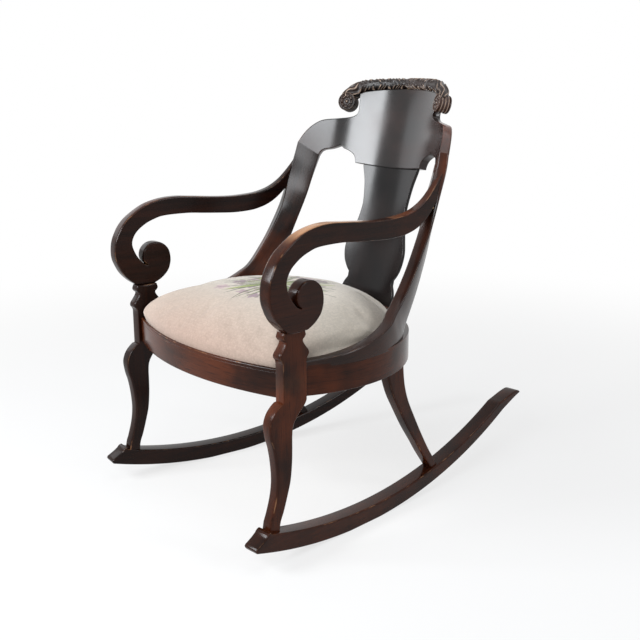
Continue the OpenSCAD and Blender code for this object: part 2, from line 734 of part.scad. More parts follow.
// Dowels: the same sets cut their own bores, which are wider and longer by the fit
module dowel(d, l, extra) {
    translate([0, 0, -l / 2 - extra]) cylinder(h = l + 2 * extra, d = d + 2 * extra, $fn = 24);
}
rear_foot_share = 0.07;
rear_head_share = 0.36;
rear_head_y = rear_leg_start + rear_head_share * block_d;
rear_foot_turn = 32;
short_dowel_l = 0.8 * dowel_l;
rear_leg_mid = rear_leg_half - rear_leg_t / 2;
module right_leg_dowels(extra) {
    // Front leg to rocker
    translate([leg_half + leg_t / 2, foot_y, rocker_top(foot_y)])
        dowel(dowel_d, short_dowel_l, extra);
    // Rear leg to rocker, along the leg's foot
    rear_foot_y = rear_leg_reach + rear_foot_share * (rear_leg_reach - rear_leg_start);
    translate([rear_leg_mid, 0, 0]) rotate([0, 0, rocker_splay])
        translate([0, rear_foot_y, rocker_top(rear_foot_y)]) rotate([rear_foot_turn, 0, 0])
            dowel(thin_dowel_d, short_dowel_l, extra);
    // Rear leg to corner block
    translate([rear_leg_mid - rear_head_y * sin(rocker_splay), rear_head_y, rail_base])
        dowel(thin_dowel_d, short_dowel_l, extra);
}
rail_dowel_shares = [0.25, 0.62];
front_dowel_shares = [0.2, 0.45];
side_dowel_turn = 6;
front_dowel_turn = 12;
module right_rail_dowels(extra) {
    mid_r = seat_r - rail_t / 2;
    leg_rail_x = sqrt(mid_r * mid_r - (leg_back_y + seat_ahead) * (leg_back_y + seat_ahead));
    front_mid = front_r - rail_t / 2;
    front_y = front_yc - sqrt(front_mid * front_mid - leg_half * leg_half);
    for (share = rail_dowel_shares) {
        z = rail_base + share * rail_h;
        // Side rail to front leg, and side rail to rear rail
        translate([leg_rail_x, leg_back_y, z])
            rotate([-90, 0, -side_dowel_turn]) dowel(dowel_d, dowel_l, extra);
        at_seat() rotate([0, 0, rear_joint_angle]) translate([mid_r, 0, z])
            rotate([90, 0, 0]) dowel(dowel_d, dowel_l, extra);
    }
    for (share = front_dowel_shares)
        translate([leg_half, front_y, rail_base + share * rail_h]) rotate([0, 90, 0])
            rotate([-front_dowel_turn, 0, 0]) dowel(dowel_d, 0.9 * dowel_l, extra);
}
stile_dowel_angles = [-2, 18];
module right_stile_dowels(extra) {
    for (a = stile_dowel_angles)
        at_seat() rotate([0, 0, a]) translate([seat_r - rail_t / 2, 0, rail_top - dowel_l / 8])
            dowel(dowel_d, 0.7 * dowel_l, extra);
}
arm_dowel_share = 0.64;
// The rear one turns in with the stile, so that it ends inside it
arm_dowel_turn = 25;
module right_arm_dowels(extra) {
    // Arm to leg
    translate([leg_half + arm_dowel_share * leg_t, -leg_ahead, leg_top]) dowel(dowel_d, dowel_l, extra);
    // Arm to stile
    translate([arm_end[0], arm_end[1], leg_top + arm_rise])
        rotate([-90, 0, arm_dowel_turn]) dowel(thin_dowel_d, 0.8 * thin_dowel_l, extra);
}
scarf_dowel_shares = [0.3, 0.7];
module right_crest_dowels(extra) {
    for (share = scarf_dowel_shares)
        at_scarf() translate([0, share * norm(scarf_axis), 0])
            dowel(thin_dowel_d, thin_dowel_l, extra);
}
cap_dowel_shares = [-0.5, 0, 0.5];
module right_cap_dowels(extra) {
    for (share = cap_dowel_shares)
        on_back() rotate([0, 0, share * scroll_turn])
            translate([0, back_r + crest_t / 2, crest_h - thin_dowel_l / 8])
                dowel(thin_dowel_d, 0.8 * thin_dowel_l, extra);
}

// Drop-in seat. Its plan is a tub that squares off to the front corners and follows the front lip
slip_r = seat_r - rail_t - seat_play;
slip_front_r = front_r - lip_t - front_play;
slip_half = leg_half - leg_play;
corner_power = 26;
ahead_gap = front_yc + seat_ahead;
function plan_rho(a) =
    let (
        c = max(abs(cos(a)), 0.01),
        side = a > 180 ? max(slip_r, min(slip_half / c, 1.3 * slip_r)) : slip_r,
        across = ahead_gap * cos(a),
        front = ahead_gap * sin(a) + sqrt(slip_front_r * slip_front_r - across * across)
    )
    slip_r / pow(pow(slip_r / side, corner_power) + pow(slip_r / front, corner_power), 1 / corner_power);
plan_steps = 48;
plan_angles = [for (i = [0:plan_steps - 1]) i * 360 / plan_steps];
plan_radii = [for (a = plan_angles) plan_rho(a)];
function plan_ring(share, inset, z) = [
    for (i = [0:plan_steps - 1])
        let (r = plan_radii[i] * share - inset)
            [r * cos(plan_angles[i]), r * sin(plan_angles[i]) - seat_ahead, z]
];
function plan_points(inset) = [for (p = plan_ring(1, inset, 0)) [p[0], p[1]]];

// The crown: a superellipse from the frame's upper edge to the middle
crown_power = 2.4;
crown_round = 0.35;
crown_base = rail_top - 1.6 * cover_t;
crown_rings = 9;
function crown_share(i) = pow(sin(90 * i / crown_rings), 0.85);
function crown_z(t) = crown_base + crown_h * pow(max(1 - pow(t, crown_power), 0), crown_round);

function crown_list(inset, drop) = [
    for (i = [1:crown_rings])
        let (t = crown_share(i)) plan_ring(t, inset * t, crown_z(t) - drop)
];

// Closed solid from a pole, rings and another pole. Its faces are split the other way from ring
// number turn on, so that a skin's inner side lies along what it covers
module poled(first, rings, last, turn) {
    n = plan_steps;
    m = len(rings);
    points = concat([first], [for (r = rings) each r], [last]);
    end = 1 + m * n;
    faces = concat(
        [for (j = [0:n - 1]) [0, 1 + (j + 1) % n, 1 + j]],
        [
            for (i = [0:m - 2], j = [0:n - 1])
                let (a = 1 + i * n + j, b = 1 + i * n + (j + 1) % n)
                    each i < turn
                        ? [[a, b, b + n], [a, b + n, a + n]]
                        : [[a, b, a + n], [b, b + n, a + n]]
        ],
        [for (j = [0:n - 1]) [end, end - n + j, end - n + (j + 1) % n]]
    );
    polyhedron(points, faces, convexity = 6);
}

frame_bottom = seat_base + cover_t;
frame_top = frame_bottom + slip_h;
// The rim of what the cover holds lies further in, because the cover draws in above it
rim_inset = cover_t + 3 * soft_gap;
burlap_top = frame_top + 2 * web_t + burlap_t;
burlap_inset = 17;
stuffing_inset = 15;
module seat_frame_ring() {
    translate([0, 0, frame_bottom]) linear_extrude(height = slip_h) difference() {
        polygon(plan_points(rim_inset));
        polygon(plan_points(slip_w));
    }
}
frame_joint_front = -38;
frame_joint_rear = 45;
module seat_frame_part(a0, a1) {
    intersection() {
        seat_frame_ring();
        wedge(a0, a1, frame_bottom - over, frame_top + over, 2 * seat_r);
    }
}
module seat_frame_side() {
    seat_frame_part(frame_joint_front, frame_joint_rear);
}
web_pitch = 1.7 * web_w;
module seat_webbing() {
    intersection() {
        union() {
            for (i = [-2:2])
                translate([i * web_pitch - web_w / 2, -2 * seat_r, frame_top])
                    cube([web_w, 4 * seat_r, web_t]);
            for (i = [-2:2])
                translate([-2 * seat_r, i * web_pitch - web_w / 2 - seat_ahead, frame_top + web_t])
                    cube([4 * seat_r, web_w, web_t]);
        }
        translate([0, 0, frame_top]) linear_extrude(height = 2 * web_t) polygon(plan_points(burlap_inset));
    }
}
module seat_burlap() {
    translate([0, 0, frame_top + 2 * web_t]) linear_extrude(height = burlap_t)
        polygon(plan_points(burlap_inset));
}
module seat_stuffing() {
    skin_gap = cover_t + soft_gap;
    crown = crown_list(skin_gap, skin_gap);
    rings = concat(
        crown,
        [plan_ring(1, rim_inset, frame_top + soft_gap)],
        [plan_ring(1, stuffing_inset, frame_top + soft_gap)],
        [plan_ring(1, burlap_inset, burlap_top + soft_gap)]
    );
    raised = [for (i = [0:crown_rings - 1]) if (crown[i][0][2] > frame_top + 2 * soft_gap) crown[i]];
    poled(
        [0, -seat_ahead, crown_z(0) - skin_gap],
        concat(raised, [for (i = [crown_rings:len(rings) - 1]) rings[i]]),
        [0, -seat_ahead, burlap_top + soft_gap], len(rings)
    );
}
module seat_cover() {
    outer = crown_list(0, 0);
    inner = crown_list(cover_t, cover_t);
    corner = cover_t * 1.5;
    rings = concat(
        outer,
        [plan_ring(1, 0, seat_base + corner), plan_ring(1, corner * 0.3, seat_base + corner * 0.3)],
        [plan_ring(1, corner, seat_base), plan_ring(1, fold_w, seat_base)],
        [plan_ring(1, fold_w, seat_base + cover_t), plan_ring(1, cover_t, seat_base + cover_t)],
        reversed(inner)
    );
    turn = len(rings) - len(inner);
    poled([0, -seat_ahead, crown_z(0)], rings, [0, -seat_ahead, crown_z(0) - cover_t], turn);
}
tack_h = 1.4;
tack_shank_l = 9;
tack_shank_d = 1.6;
tack_inset = 25;
tack_angles = [-118, -104, -90, -76, -62, 3, 60, 80, 100, 120, 177];
module cover_tacks() {
    for (a = tack_angles)
        let (r = plan_rho(a < 0 ? a + 360 : a) - tack_inset)
            translate([r * cos(a), r * sin(a) - seat_ahead, seat_base]) {
                translate([0, 0, -tack_h]) cylinder(h = tack_h, d = tack_d, $fn = 16);
                cylinder(h = tack_shank_l, d = tack_shank_d, $fn = 16);
            }
}

module rocker_right() { color(mahogany) placed() rocker(); }
module rocker_left() { color(mahogany) placed() mirror([1, 0, 0]) rocker(); }
module front_leg_right() { color(dark_mahogany) placed() front_leg(); }
module front_leg_left() { color(dark_mahogany) placed() mirror([1, 0, 0]) front_leg(); }
module rear_leg_right() { color(mahogany) placed() rear_leg(); }
module rear_leg_left() { color(mahogany) placed() mirror([1, 0, 0]) rear_leg(); }
module front_rail_node() { color(dark_mahogany) placed() front_rail(); }
module side_rail_right() { color(mahogany) placed() side_rail(); }
module side_rail_left() { color(mahogany) placed() mirror([1, 0, 0]) side_rail(); }
module rear_rail_node() { color(mahogany) placed() rear_rail(); }
module corner_block_front_right() { color(pine) placed() front_corner_block(); }
module corner_block_front_left() { color(pine) placed() mirror([1, 0, 0]) front_corner_block(); }
module corner_block_rear_right() { color(pine) placed() rear_corner_block(); }
module corner_block_rear_left() { color(pine) placed() mirror([1, 0, 0]) rear_corner_block(); }
module corner_block_screws() { color(steel) placed() both_sides() right_screws(0); }
module arm_right() { color(mahogany) placed() arm(); }
module arm_left() { color(mahogany) placed() mirror([1, 0, 0]) arm(); }
module stile_right() { color(dark_mahogany) placed() stile(); }
module stile_left() { color(dark_mahogany) placed() mirror([1, 0, 0]) stile(); }
module crest_rail_node() { color(dark_mahogany) placed() crest_rail(); }
module crest_cap_node() { color(carved) placed() crest_cap(); }
module splat_node() { color(dark_mahogany) placed() splat(); }
module splat_shoe_node() { color(mahogany) placed() splat_shoe(); }
module leg_dowels() { color(beech) placed() both_sides() right_leg_dowels(0); }
module rail_dowels() { color(beech) placed() both_sides() right_rail_dowels(0); }
module stile_dowels() { color(beech) placed() both_sides() right_stile_dowels(0); }
module arm_dowels() { color(beech) placed() both_sides() right_arm_dowels(0); }
module crest_dowels() { color(beech) placed() both_sides() right_crest_dowels(0); }
module cap_dowels() { color(beech) placed() right_cap_dowels(0); }
module seat_frame_front() {
    color(pine) placed() seat_frame_part(-180 - frame_joint_front, frame_joint_front);
}
module seat_frame_rear() { color(pine) placed() seat_frame_part(frame_joint_rear, 180 - frame_joint_rear); }
module seat_frame_right() { color(pine) placed() seat_frame_side(); }
module seat_frame_left() { color(pine) placed() mirror([1, 0, 0]) seat_frame_side(); }
module seat_webbing_node() { color(jute) placed() seat_webbing(); }
module seat_burlap_node() { color(jute) placed() seat_burlap(); }
module seat_stuffing_node() { color(cotton) placed() seat_stuffing(); }
module seat_cover_node() { color(needlework) placed() seat_cover(); }
module cover_tacks_node() { color(steel) placed() cover_tacks(); }

rocker_left();
rocker_right();
front_leg_left();
front_leg_right();
rear_leg_left();
rear_leg_right();
front_rail_node();  // front_rail
side_rail_left();
side_rail_right();
rear_rail_node();  // rear_rail
corner_block_front_left();
corner_block_front_right();
corner_block_rear_left();
corner_block_rear_right();
corner_block_screws();
arm_left();
arm_right();
stile_left();
stile_right();
crest_rail_node();  // crest_rail
crest_cap_node();  // crest_cap
splat_node();  // splat
splat_shoe_node();  // splat_shoe
leg_dowels();
rail_dowels();
stile_dowels();
arm_dowels();
crest_dowels();
cap_dowels();
seat_frame_front();
seat_frame_rear();
seat_frame_left();
seat_frame_right();
seat_webbing_node();  // seat_webbing
seat_burlap_node();  // seat_burlap
seat_stuffing_node();  // seat_stuffing
seat_cover_node();  // seat_cover
cover_tacks_node();  // cover_tacks
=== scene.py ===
"""Looks of a mahogany scroll-arm rocking chair with a needlework drop-in seat.

Shapes are drawn in millimetres in the maker's frame: X across the chair, -Y the way it faces,
Z up from the floor, with Y = 0 where the rockers touch it. place() turns that into the part's
metres.
"""

import math

import bmesh
import bpy
import numpy as np
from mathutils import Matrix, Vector
from mathutils.geometry import delaunay_2d_cdt


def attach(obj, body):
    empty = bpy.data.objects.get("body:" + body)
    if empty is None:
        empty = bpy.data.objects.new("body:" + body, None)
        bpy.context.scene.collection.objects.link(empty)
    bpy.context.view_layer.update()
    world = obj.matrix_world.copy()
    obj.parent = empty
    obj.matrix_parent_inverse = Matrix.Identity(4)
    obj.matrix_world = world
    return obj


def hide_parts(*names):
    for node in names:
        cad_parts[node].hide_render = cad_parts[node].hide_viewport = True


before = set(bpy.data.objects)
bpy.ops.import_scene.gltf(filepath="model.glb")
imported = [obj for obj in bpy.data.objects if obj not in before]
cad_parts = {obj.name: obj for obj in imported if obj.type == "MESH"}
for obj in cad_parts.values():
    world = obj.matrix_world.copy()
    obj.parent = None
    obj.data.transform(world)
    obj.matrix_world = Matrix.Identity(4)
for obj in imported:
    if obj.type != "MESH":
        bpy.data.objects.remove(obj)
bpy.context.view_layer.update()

# Sizes, as the part's source has them
MIDDLE_Y = 125.343
SEAT_R, SEAT_AHEAD, RAIL_T = 300, 46, 25
RAIL_BASE, RAIL_TOP, LIP_TOP = 318, 378, 375
REAR_JOINT = math.radians(49)
FRONT_R, FRONT_YC, LIP_T, REBATE_Z = 680, 418.1, 6, 358.2
LEG_HALF, LEG_T, LEG_AHEAD, BLOCK_D, BLOCK_TOP, LEG_TOP = 251.955, 25, 193.5, 55, 390, 448
NECK_H = LEG_TOP - BLOCK_TOP
ROCKER_R, ROCKER_T, ROCKER_D, ROCKER_THIN, ROCKER_HALF = 1000, 36, 34.5, 6.5, 265.158
ROCKER_FRONT, ROCKER_BACK, TAIL_LEN, CONTACT_RISE, CONTACT_END = 297, 472, 83, 0.968, 44
ROCKER_SPLAY = math.radians(5.1)
REAR_LEG_T, REAR_LEG_HALF, REAR_LEG_START, REAR_LEG_RUN = 25, 260, 62, 160
ARM_T, ARM_TAIL_T, ARM_HALF, ARM_LEN, ARM_RISE = 29, 24, 271.983, 469.981, 190
ARM_SPLAY = math.radians(4.28909)
BACK_R, BACK_REACH, BACK_BASE, BACK_RAKE, BACK_H = 338, 231, 380, math.radians(14), 482
CREST_T, CREST_HALF, CREST_H = 20, 234, 506.1
SPLAT_HALF, SPLAT_T, SPLAT_INSET, SHOE_H = 96, 9, 8, 14
CAP_H, CAP_FRONT, SCROLL_R, SCROLL_HALF, SCROLL_H = 25, 9, 22, 149.02, 465.1
STILE_T = 25


def place(points):
    """Metres in the part's frame, from millimetres in the maker's."""
    return (np.asarray(points, float) - [0, MIDDLE_Y, 0]) / 1000


def smooth(points, steps):
    """Catmull-Rom curve through points, with its ends held: on each span the cubic
    (2b + (c-a)t + (2a-5b+4c-d)t^2 + (3b-a-3c+d)t^3) / 2."""
    p = np.asarray(points, float)
    padded = np.concatenate([p[:1], p, p[-1:]])
    a, b, c, d = (padded[k : k + len(p) - 1, None] for k in range(4))
    t = np.linspace(0, 1, steps, endpoint=False)[None, :, None]
    curve = (2 * b + (c - a) * t + (2 * a - 5 * b + 4 * c - d) * t**2 + (3 * b - a - 3 * c + d) * t**3) / 2
    return np.concatenate([curve.reshape(-1, p.shape[1]), p[-1:]])


def soft_step(value, start, end):
    """3t^2 - 2t^3, with t the way from start to end."""
    t = np.clip((value - start) / (end - start), 0, 1)
    return t**2 * (3 - 2 * t)


def hill(value, middle, spread):
    """One at the middle, and exp(-x^2) at x spreads from it."""
    return np.exp(-(((value - middle) / spread) ** 2))


def scaled(shares, across, up, x=0.0, z=0.0):
    """Points from shares of two lengths, moved by x and z."""
    return np.asarray(shares, float) * [across, up] + [x, z]


def joined(*runs):
    """One closed outline from runs of points, without points that fall on each other, and
    counter-clockwise: a shoelace area above zero."""
    p = np.concatenate(runs)
    p = p[np.linalg.norm(p - np.roll(p, 1, 0), axis=1) > 0.05]
    x, y = p.T
    area = (x * np.roll(y, -1) - np.roll(x, -1) * y).sum()
    return p if area > 0 else p[::-1]


def evened(outline, gap):
    """The outline with its long spans cut into steps no longer than gap."""
    ahead = np.roll(outline, -1, 0) - outline
    cuts = np.maximum(1, np.ceil(np.linalg.norm(ahead, axis=1) / gap).astype(int))
    start = np.repeat(np.arange(len(outline)), cuts)
    step = (np.arange(len(start)) - np.repeat(np.cumsum(cuts) - cuts, cuts)) / cuts[start]
    return outline[start] + ahead[start] * step[:, None]


# Meshes
SHARP = 40  # degrees between two faces from which their edge is drawn sharp
ARRIS_STEPS = 5
EDGE_GAP = 9  # longest step along a board's outline
# The face's own ring of points inside the arris, the room that it takes, and the share of the
# room inside an outline that both may take
FACE_RING, RING_ROOM, ROOM_SHARE = 1.1, 1.2, 0.85


def outward(points, faces):
    """The faces as they are, or all turned round if the volume they enclose, a sum of
    v0 . (v1 x v2) over a fan of each face, is below zero."""
    volume = 0.0
    for group in faces:
        f = np.asarray(group)
        for k in range(1, f.shape[1] - 1):
            corners = points[f[:, 0]], points[f[:, k]], points[f[:, k + 1]]
            volume += (corners[0] * np.cross(corners[1], corners[2])).sum()
    return faces if volume > 0 else [np.asarray(g)[:, ::-1] for g in faces]


def marked(mesh, marks):
    """Adds marks to a mesh, each of them one value, vector or colour for each point."""
    kinds = {1: ("FLOAT", "value"), 3: ("FLOAT_VECTOR", "vector"), 4: ("FLOAT_COLOR", "color")}
    for mark, values in marks.items():
        kind, field = kinds[1 if values.ndim == 1 else values.shape[1]]
        layer = mesh.attributes.new(mark, kind, "POINT")
        layer.data.foreach_set(field, values.astype(np.float32).ravel())


def wood_marks(arris, along, over, deep, warm):
    """What the wood's finishes read at each point: how far it lies on an arris, its place along,
    across and through the grain in metres, and how thin its polish is worn, which is held low on the
    left-hand pieces as painted shade."""
    every = np.broadcast(arris, along, over, deep, warm).shape
    arris, along, over, deep, warm = (
        np.broadcast_to(part, every).ravel() for part in (arris, along, over, deep, warm)
    )
    return {"arris": arris, "grain": np.stack([along, over, deep], 1) / 1000, "warm": warm}


def piece(name, points, faces, finish, replaces, body="chair", marks=None, sharp=SHARP):
    """A finished object from points in millimetres and arrays of faces."""
    mesh = bpy.data.meshes.new(name)
    loops = [face for group in outward(points, faces) for face in np.asarray(group).tolist()]
    mesh.from_pydata(place(points).tolist(), [], loops)
    marked(mesh, marks or {})
    mesh.shade_smooth()
    mesh.set_sharp_from_angle(angle=math.radians(sharp))
    mesh.materials.append(finish)
    thing = bpy.data.objects.new(name, mesh)
    bpy.context.scene.collection.objects.link(thing)
    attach(thing, body)
    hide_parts(*replaces)
    return thing


def inward(outline):
    """Mitred normals into a counter-clockwise outline: the sum of its two edges' normals over
    one plus their cosine."""
    ahead = np.roll(outline, -1, 0) - outline
    ahead = ahead / np.linalg.norm(ahead, axis=1, keepdims=True)
    left = np.stack([-ahead[:, 1], ahead[:, 0]], 1)
    both = left + np.roll(left, 1, 0)
    return 2 * both / np.maximum((both**2).sum(1, keepdims=True), 1.3)


def room(outline, normals):
    """How far each point can move inward before the outline closes on itself: the least of
    |gap|^2 / (2 gap . normal) over the gaps to all other points."""
    gap = outline[None] - outline[:, None]
    reach = (gap * normals[:, None]).sum(2)
    return np.where(reach > 0.05, (gap**2).sum(2) / np.maximum(2 * reach, 0.1), 1e4).min(1)


def eased(values, passes=3):
    """Values round a closed outline, each averaged with its neighbours but never raised."""
    for _ in range(passes):
        values = np.minimum(values, (np.roll(values, 1) + values * 2 + np.roll(values, -1)) / 4)
    return values


def band_quads(rows, n):
    """Quads between the rows of a stack of closed rings of n points."""
    i, j = np.meshgrid(np.arange(rows - 1), np.arange(n), indexing="ij")
    a, b = i * n + j, i * n + (j + 1) % n
    return np.stack([a, b, b + n, a + n], -1).reshape(-1, 4)


def plate(
    name, replaces, outline, thick, inset, deep, spot, finish, warmth, back=None, fill=None, upright=False
):
    """A board with eased arrises. Round its outline the arris is a quarter of an ellipse: at
    angle q the edge stands in by inset (1 - cos q) and lies deep (1 - sin q) below the face.
    back is the other face's pair of inset and deep. spot(u, v, depth) gives the board's place, and
    the points that fill lays over its faces, that far apart, let them follow a curve."""
    outline = evened(outline, fill or EDGE_GAP)
    normals = inward(outline)
    space = room(outline, normals)
    # The last row is the face's own ring, which lies level with the one before it
    q = np.linspace(0, np.pi / 2, ARRIS_STEPS + 1)
    q = np.append(q, q[-1])[:, None]
    sides = []
    for way, (a, b) in ((0, (inset, deep)), (1, back or (inset, deep))):
        a, b = (
            np.broadcast_to(f(outline) if callable(f) else f, len(outline)).astype(float) for f in (a, b)
        )
        part = eased(np.clip(ROOM_SHARE * space / (a + RING_ROOM), 0.02, 1))
        insets = a * part * (1 - np.cos(q))
        insets[-1] += FACE_RING * part
        depths = b * (1 - np.sin(q))
        sides.append((outline + normals * insets[..., None], thick - depths if way else depths))
    flat, depth = (np.concatenate([front[::-1], rear]) for front, rear in zip(*sides))
    rows, n = depth.shape
    q = np.concatenate([q[::-1], q])
    mark, wall = (np.broadcast_to(part, depth.shape).ravel() for part in (np.sin(2 * q), np.cos(q)))
    uv, dep = flat.reshape(-1, 2), depth.ravel()
    caps = []
    for row, turn in ((0, -1), (rows - 1, 1)):
        edge = flat[row]
        grid = dots_inside(edge, fill) if fill else np.zeros((0, 2))
        loop = [(k, (k + 1) % n) for k in range(n)]
        found, _, tris, origins, _, _ = delaunay_2d_cdt(
            [Vector(p) for p in np.concatenate([edge, grid]).tolist()], loop, [], 1, 1e-4
        )
        number = np.array([o[0] if o and o[0] < n else -1 for o in origins])
        extra = number < 0
        index = np.where(extra, len(uv) + np.cumsum(extra) - 1, row * n + number)
        uv = np.concatenate([uv, np.array([tuple(p) for p in found])[extra]])
        dep = np.concatenate([dep, np.full(extra.sum(), 0.0 if row == 0 else thick)])
        mark, wall = (np.concatenate([m, np.zeros(extra.sum())]) for m in (mark, wall))
        caps.append(index[np.array(tris)][:, ::turn])
    points = spot(uv[:, 0], uv[:, 1], dep)
    along, over = (uv[:, 1], uv[:, 0]) if upright else (uv[:, 0], uv[:, 1])
    marks = wood_marks(mark, along, over, dep, warmth(points, wall) if callable(warmth) else warmth)
    return piece(name, points, [band_quads(rows, n), *caps], finish, replaces, marks=marks)


def dots_inside(edge, gap):
    """Grid points inside an outline and more than 0.6 of a gap from it, by the even-odd rule."""
    x, y = (np.arange(low + gap / 2, high, gap) for low, high in zip(edge.min(0), edge.max(0)))
    dots = np.stack(np.meshgrid(x, y), -1).reshape(-1, 2)
    a, b = edge, np.roll(edge, -1, 0)
    spans = (a[:, 1] > dots[:, 1:]) != (b[:, 1] > dots[:, 1:])
    rise = np.where(b[:, 1] == a[:, 1], 1e-9, b[:, 1] - a[:, 1])
    cross = a[:, 0] + (dots[:, 1:] - a[:, 1]) * (b[:, 0] - a[:, 0]) / rise
    odd = (spans & (cross > dots[:, :1])).sum(1) % 2 == 1
    far = np.linalg.norm(dots[:, None] - edge[None], axis=2).min(1) > 0.6 * gap
    return dots[odd & far]


def skin(rings):
    """Quads round a stack of closed rings and one flat face on each end."""
    rows, n = rings.shape[:2]
    return [band_quads(rows, n), np.arange(n)[None, ::-1], (rows - 1) * n + np.arange(n)[None]]


def rounded(corners, radii, steps=5):
    """A polygon with each corner drawn as the curve (1-t)^2 A + 2t(1-t) P + t^2 B, which leaves
    its edges one radius from it, and the arris mark 4t(1-t)."""
    p = np.asarray(corners, float)
    r = np.broadcast_to(radii, len(p)).astype(float)[:, None]
    before, after = np.roll(p, 1, 0) - p, np.roll(p, -1, 0) - p
    a = p + before / np.linalg.norm(before, axis=1, keepdims=True) * r
    b = p + after / np.linalg.norm(after, axis=1, keepdims=True) * r
    t = np.linspace(0, 1, steps + 1)[None, :, None]
    curve = (1 - t) ** 2 * a[:, None] + 2 * t * (1 - t) * p[:, None] + t**2 * b[:, None]
    mark = np.broadcast_to(4 * t[..., 0] * (1 - t[..., 0]), curve.shape[:2])
    return curve.reshape(-1, 2), mark.ravel()


def swept(name, replaces, profile, arris, angles, centre_y):
    """A polished profile of (radius, height) carried round a centre on the chair's own plane: a
    point lies at x = r sin q, y = centre + r cos q."""
    q = angles[:, None]
    radius, height = profile.T
    points = np.stack([radius * np.sin(q), centre_y + radius * np.cos(q), height + 0 * q], -1)
    marks = wood_marks(arris, q * radius.mean(), height, radius, RAIL_WORN)
    piece(name, points.reshape(-1, 3), skin(points), POLISHED, replaces, marks=marks)


# Materials
def colour(code):
    """Linear colour of an sRGB hex value."""
    c = np.array([int(code[k : k + 2], 16) / 255 for k in (1, 3, 5)])
    return tuple(np.where(c <= 0.04045, c / 12.92, ((c + 0.055) / 1.055) ** 2.4)) + (1.0,)


def plug(node, inputs):
    """Sets a node's inputs, in order or by socket, to values or to other nodes' outputs."""
    for key, value in inputs.items() if isinstance(inputs, dict) else enumerate(inputs):
        if isinstance(value, bpy.types.NodeSocket):
            node.id_data.links.new(value, node.inputs[key])
        else:
            node.inputs[key].default_value = value


def add(tree, kind, inputs=(), out=0, **settings):
    """Adds a node with its settings and inputs, and gives one of its outputs."""
    made = tree.nodes.new("ShaderNode" + kind)
    for key, value in settings.items():
        setattr(made, key, value)
    plug(made, inputs)
    return made.outputs[out]


def surface(name):
    """A new material, its tree and its shader."""
    material = bpy.data.materials.new(name)
    material.use_nodes = True
    return material, material.node_tree, material.node_tree.nodes["Principled BSDF"]


# Settings that many nodes share
SMOOTH = {"interpolation_type": "SMOOTHSTEP"}
PRODUCT = {"operation": "MULTIPLY"}
COLOURS = {"data_type": "RGBA"}
MIXED = 2  # a Mix node's output for colours

# Length and width in metres of mahogany's ribbon figure, and of its pore rows, which are drawn
# twice as coarse as they are to show; and how many clouds and rubbed spots a metre holds
FIGURE, PORES = (0.22, 0.013), (0.04, 0.0018)
CLOUDS, RUBS = 9.0, 45.0
WOOD_RELIEF = 0.00012


def mahogany(name, dark, mid, red, worn, gloss, shine, edge_wear_and_glint, relief, hollow=0.0, spots=(0.5, 0.7)):
    """Old mahogany under dark shellac: near-black in the shade, red-brown where the polish has
    thinned, tan where hands have rubbed it bare. Streaks run along the grain. A hollow above 0
    paints shade over what lies deep in a carving; spots are the noise levels from which edges are
    rubbed pale, which on a carving's ridges is partly a painted highlight."""
    material, tree, shader = surface(name)
    spot = add(tree, "TexCoord", out="Object")
    grain, arris, warm = (
        add(tree, "Attribute", out=out, attribute_name=mark)
        for mark, out in (("grain", "Vector"), ("arris", "Fac"), ("warm", "Fac"))
    )
    cloud, rub = (
        add(tree, "TexNoise", {"Vector": spot, "Scale": scale, "Detail": detail})
        for scale, detail in ((CLOUDS, 3), (RUBS, 2))
    )
    figure, pores = (
        add(tree, "TexNoise", {
            "Vector": add(tree, "VectorMath", (grain, (1 / long, 1 / wide, 1 / wide)), **PRODUCT),
            "Scale": 1, "Detail": detail,
        })
        for (long, wide), detail in ((FIGURE, 3), (PORES, 2))
    )
    ribbon = add(tree, "MapRange", (figure, 0.2, 0.85), **SMOOTH)
    # Painted shade over the low parts of a carving, taken from the arris mark, when hollow is above 0
    sunk = add(tree, "MapRange", (arris, 0.75, 0.15, 0, hollow), **SMOOTH)
    clouded = add(tree, "Math", (add(tree, "MapRange", (cloud, 0.25, 0.75), **SMOOTH), warm), **PRODUCT)
    streaked = add(tree, "MapRange", (figure, 0.3, 0.7, 1.1, 1.5))
    thinned = add(tree, "Math", (clouded, streaked), use_clamp=True, **PRODUCT)
    filled = add(tree, "MapRange", (pores, 0.5, 0.15), **SMOOTH)
    rubbed = add(tree, "MapRange", (warm, 0.9, 2.0), **SMOOTH)
    patchy = add(tree, "MapRange", (figure, 0.3, 0.7, 0.75, 1.1))
    bare = add(tree, "Math", (rubbed, patchy), use_clamp=True, **PRODUCT)
    # Pale rubbed arrises: wear on the boards, and on a carving's ridges partly a painted highlight
    ridge = add(tree, "MapRange", (arris, 0.72, 1.0, 0, edge_wear_and_glint), **SMOOTH)
    edge = add(tree, "Math", (ridge, add(tree, "MapRange", (rub, *spots), **SMOOTH)), **PRODUCT)
    layers = ((ribbon, mid), (sunk, dark), (thinned, red), (filled, dark), (bare, worn), (edge, worn))
    base = dark
    for share, layer in layers:
        base = add(tree, "Mix", {0: share, 6: base, 7: layer}, MIXED, **COLOURS)
    height = add(tree, "Math", (rub, 0.25, pores), operation="MULTIPLY_ADD")
    plug(shader, {
        "Base Color": base, "IOR": 1.5, "Specular IOR Level": shine,
        "Roughness": add(tree, "MapRange", (cloud, 0.3, 0.75, gloss, gloss + 0.1)),
        "Normal": add(tree, "Bump", {"Height": height, "Strength": relief, "Distance": WOOD_RELIEF}),
    })
    return material


# French-polished mahogany, hand rubbed: dark, glossy, with tan lines where edges are worn
POLISHED = mahogany(
    "french_polished_mahogany", colour("#0d0706"), colour("#25110a"), colour("#602d15"), colour("#b3845f"),
    gloss=0.13, shine=0.14, edge_wear_and_glint=0.35, relief=0.1,
)
# The back's broad faces, under more and darker shellac, which hands have not thinned
SHELLACKED = mahogany(
    "dark_shellacked_mahogany", colour("#070607"), colour("#110c0c"), colour("#5a2c1c"), colour("#7a5a48"),
    gloss=0.14, shine=0.42, edge_wear_and_glint=0.2, relief=0.1,
)
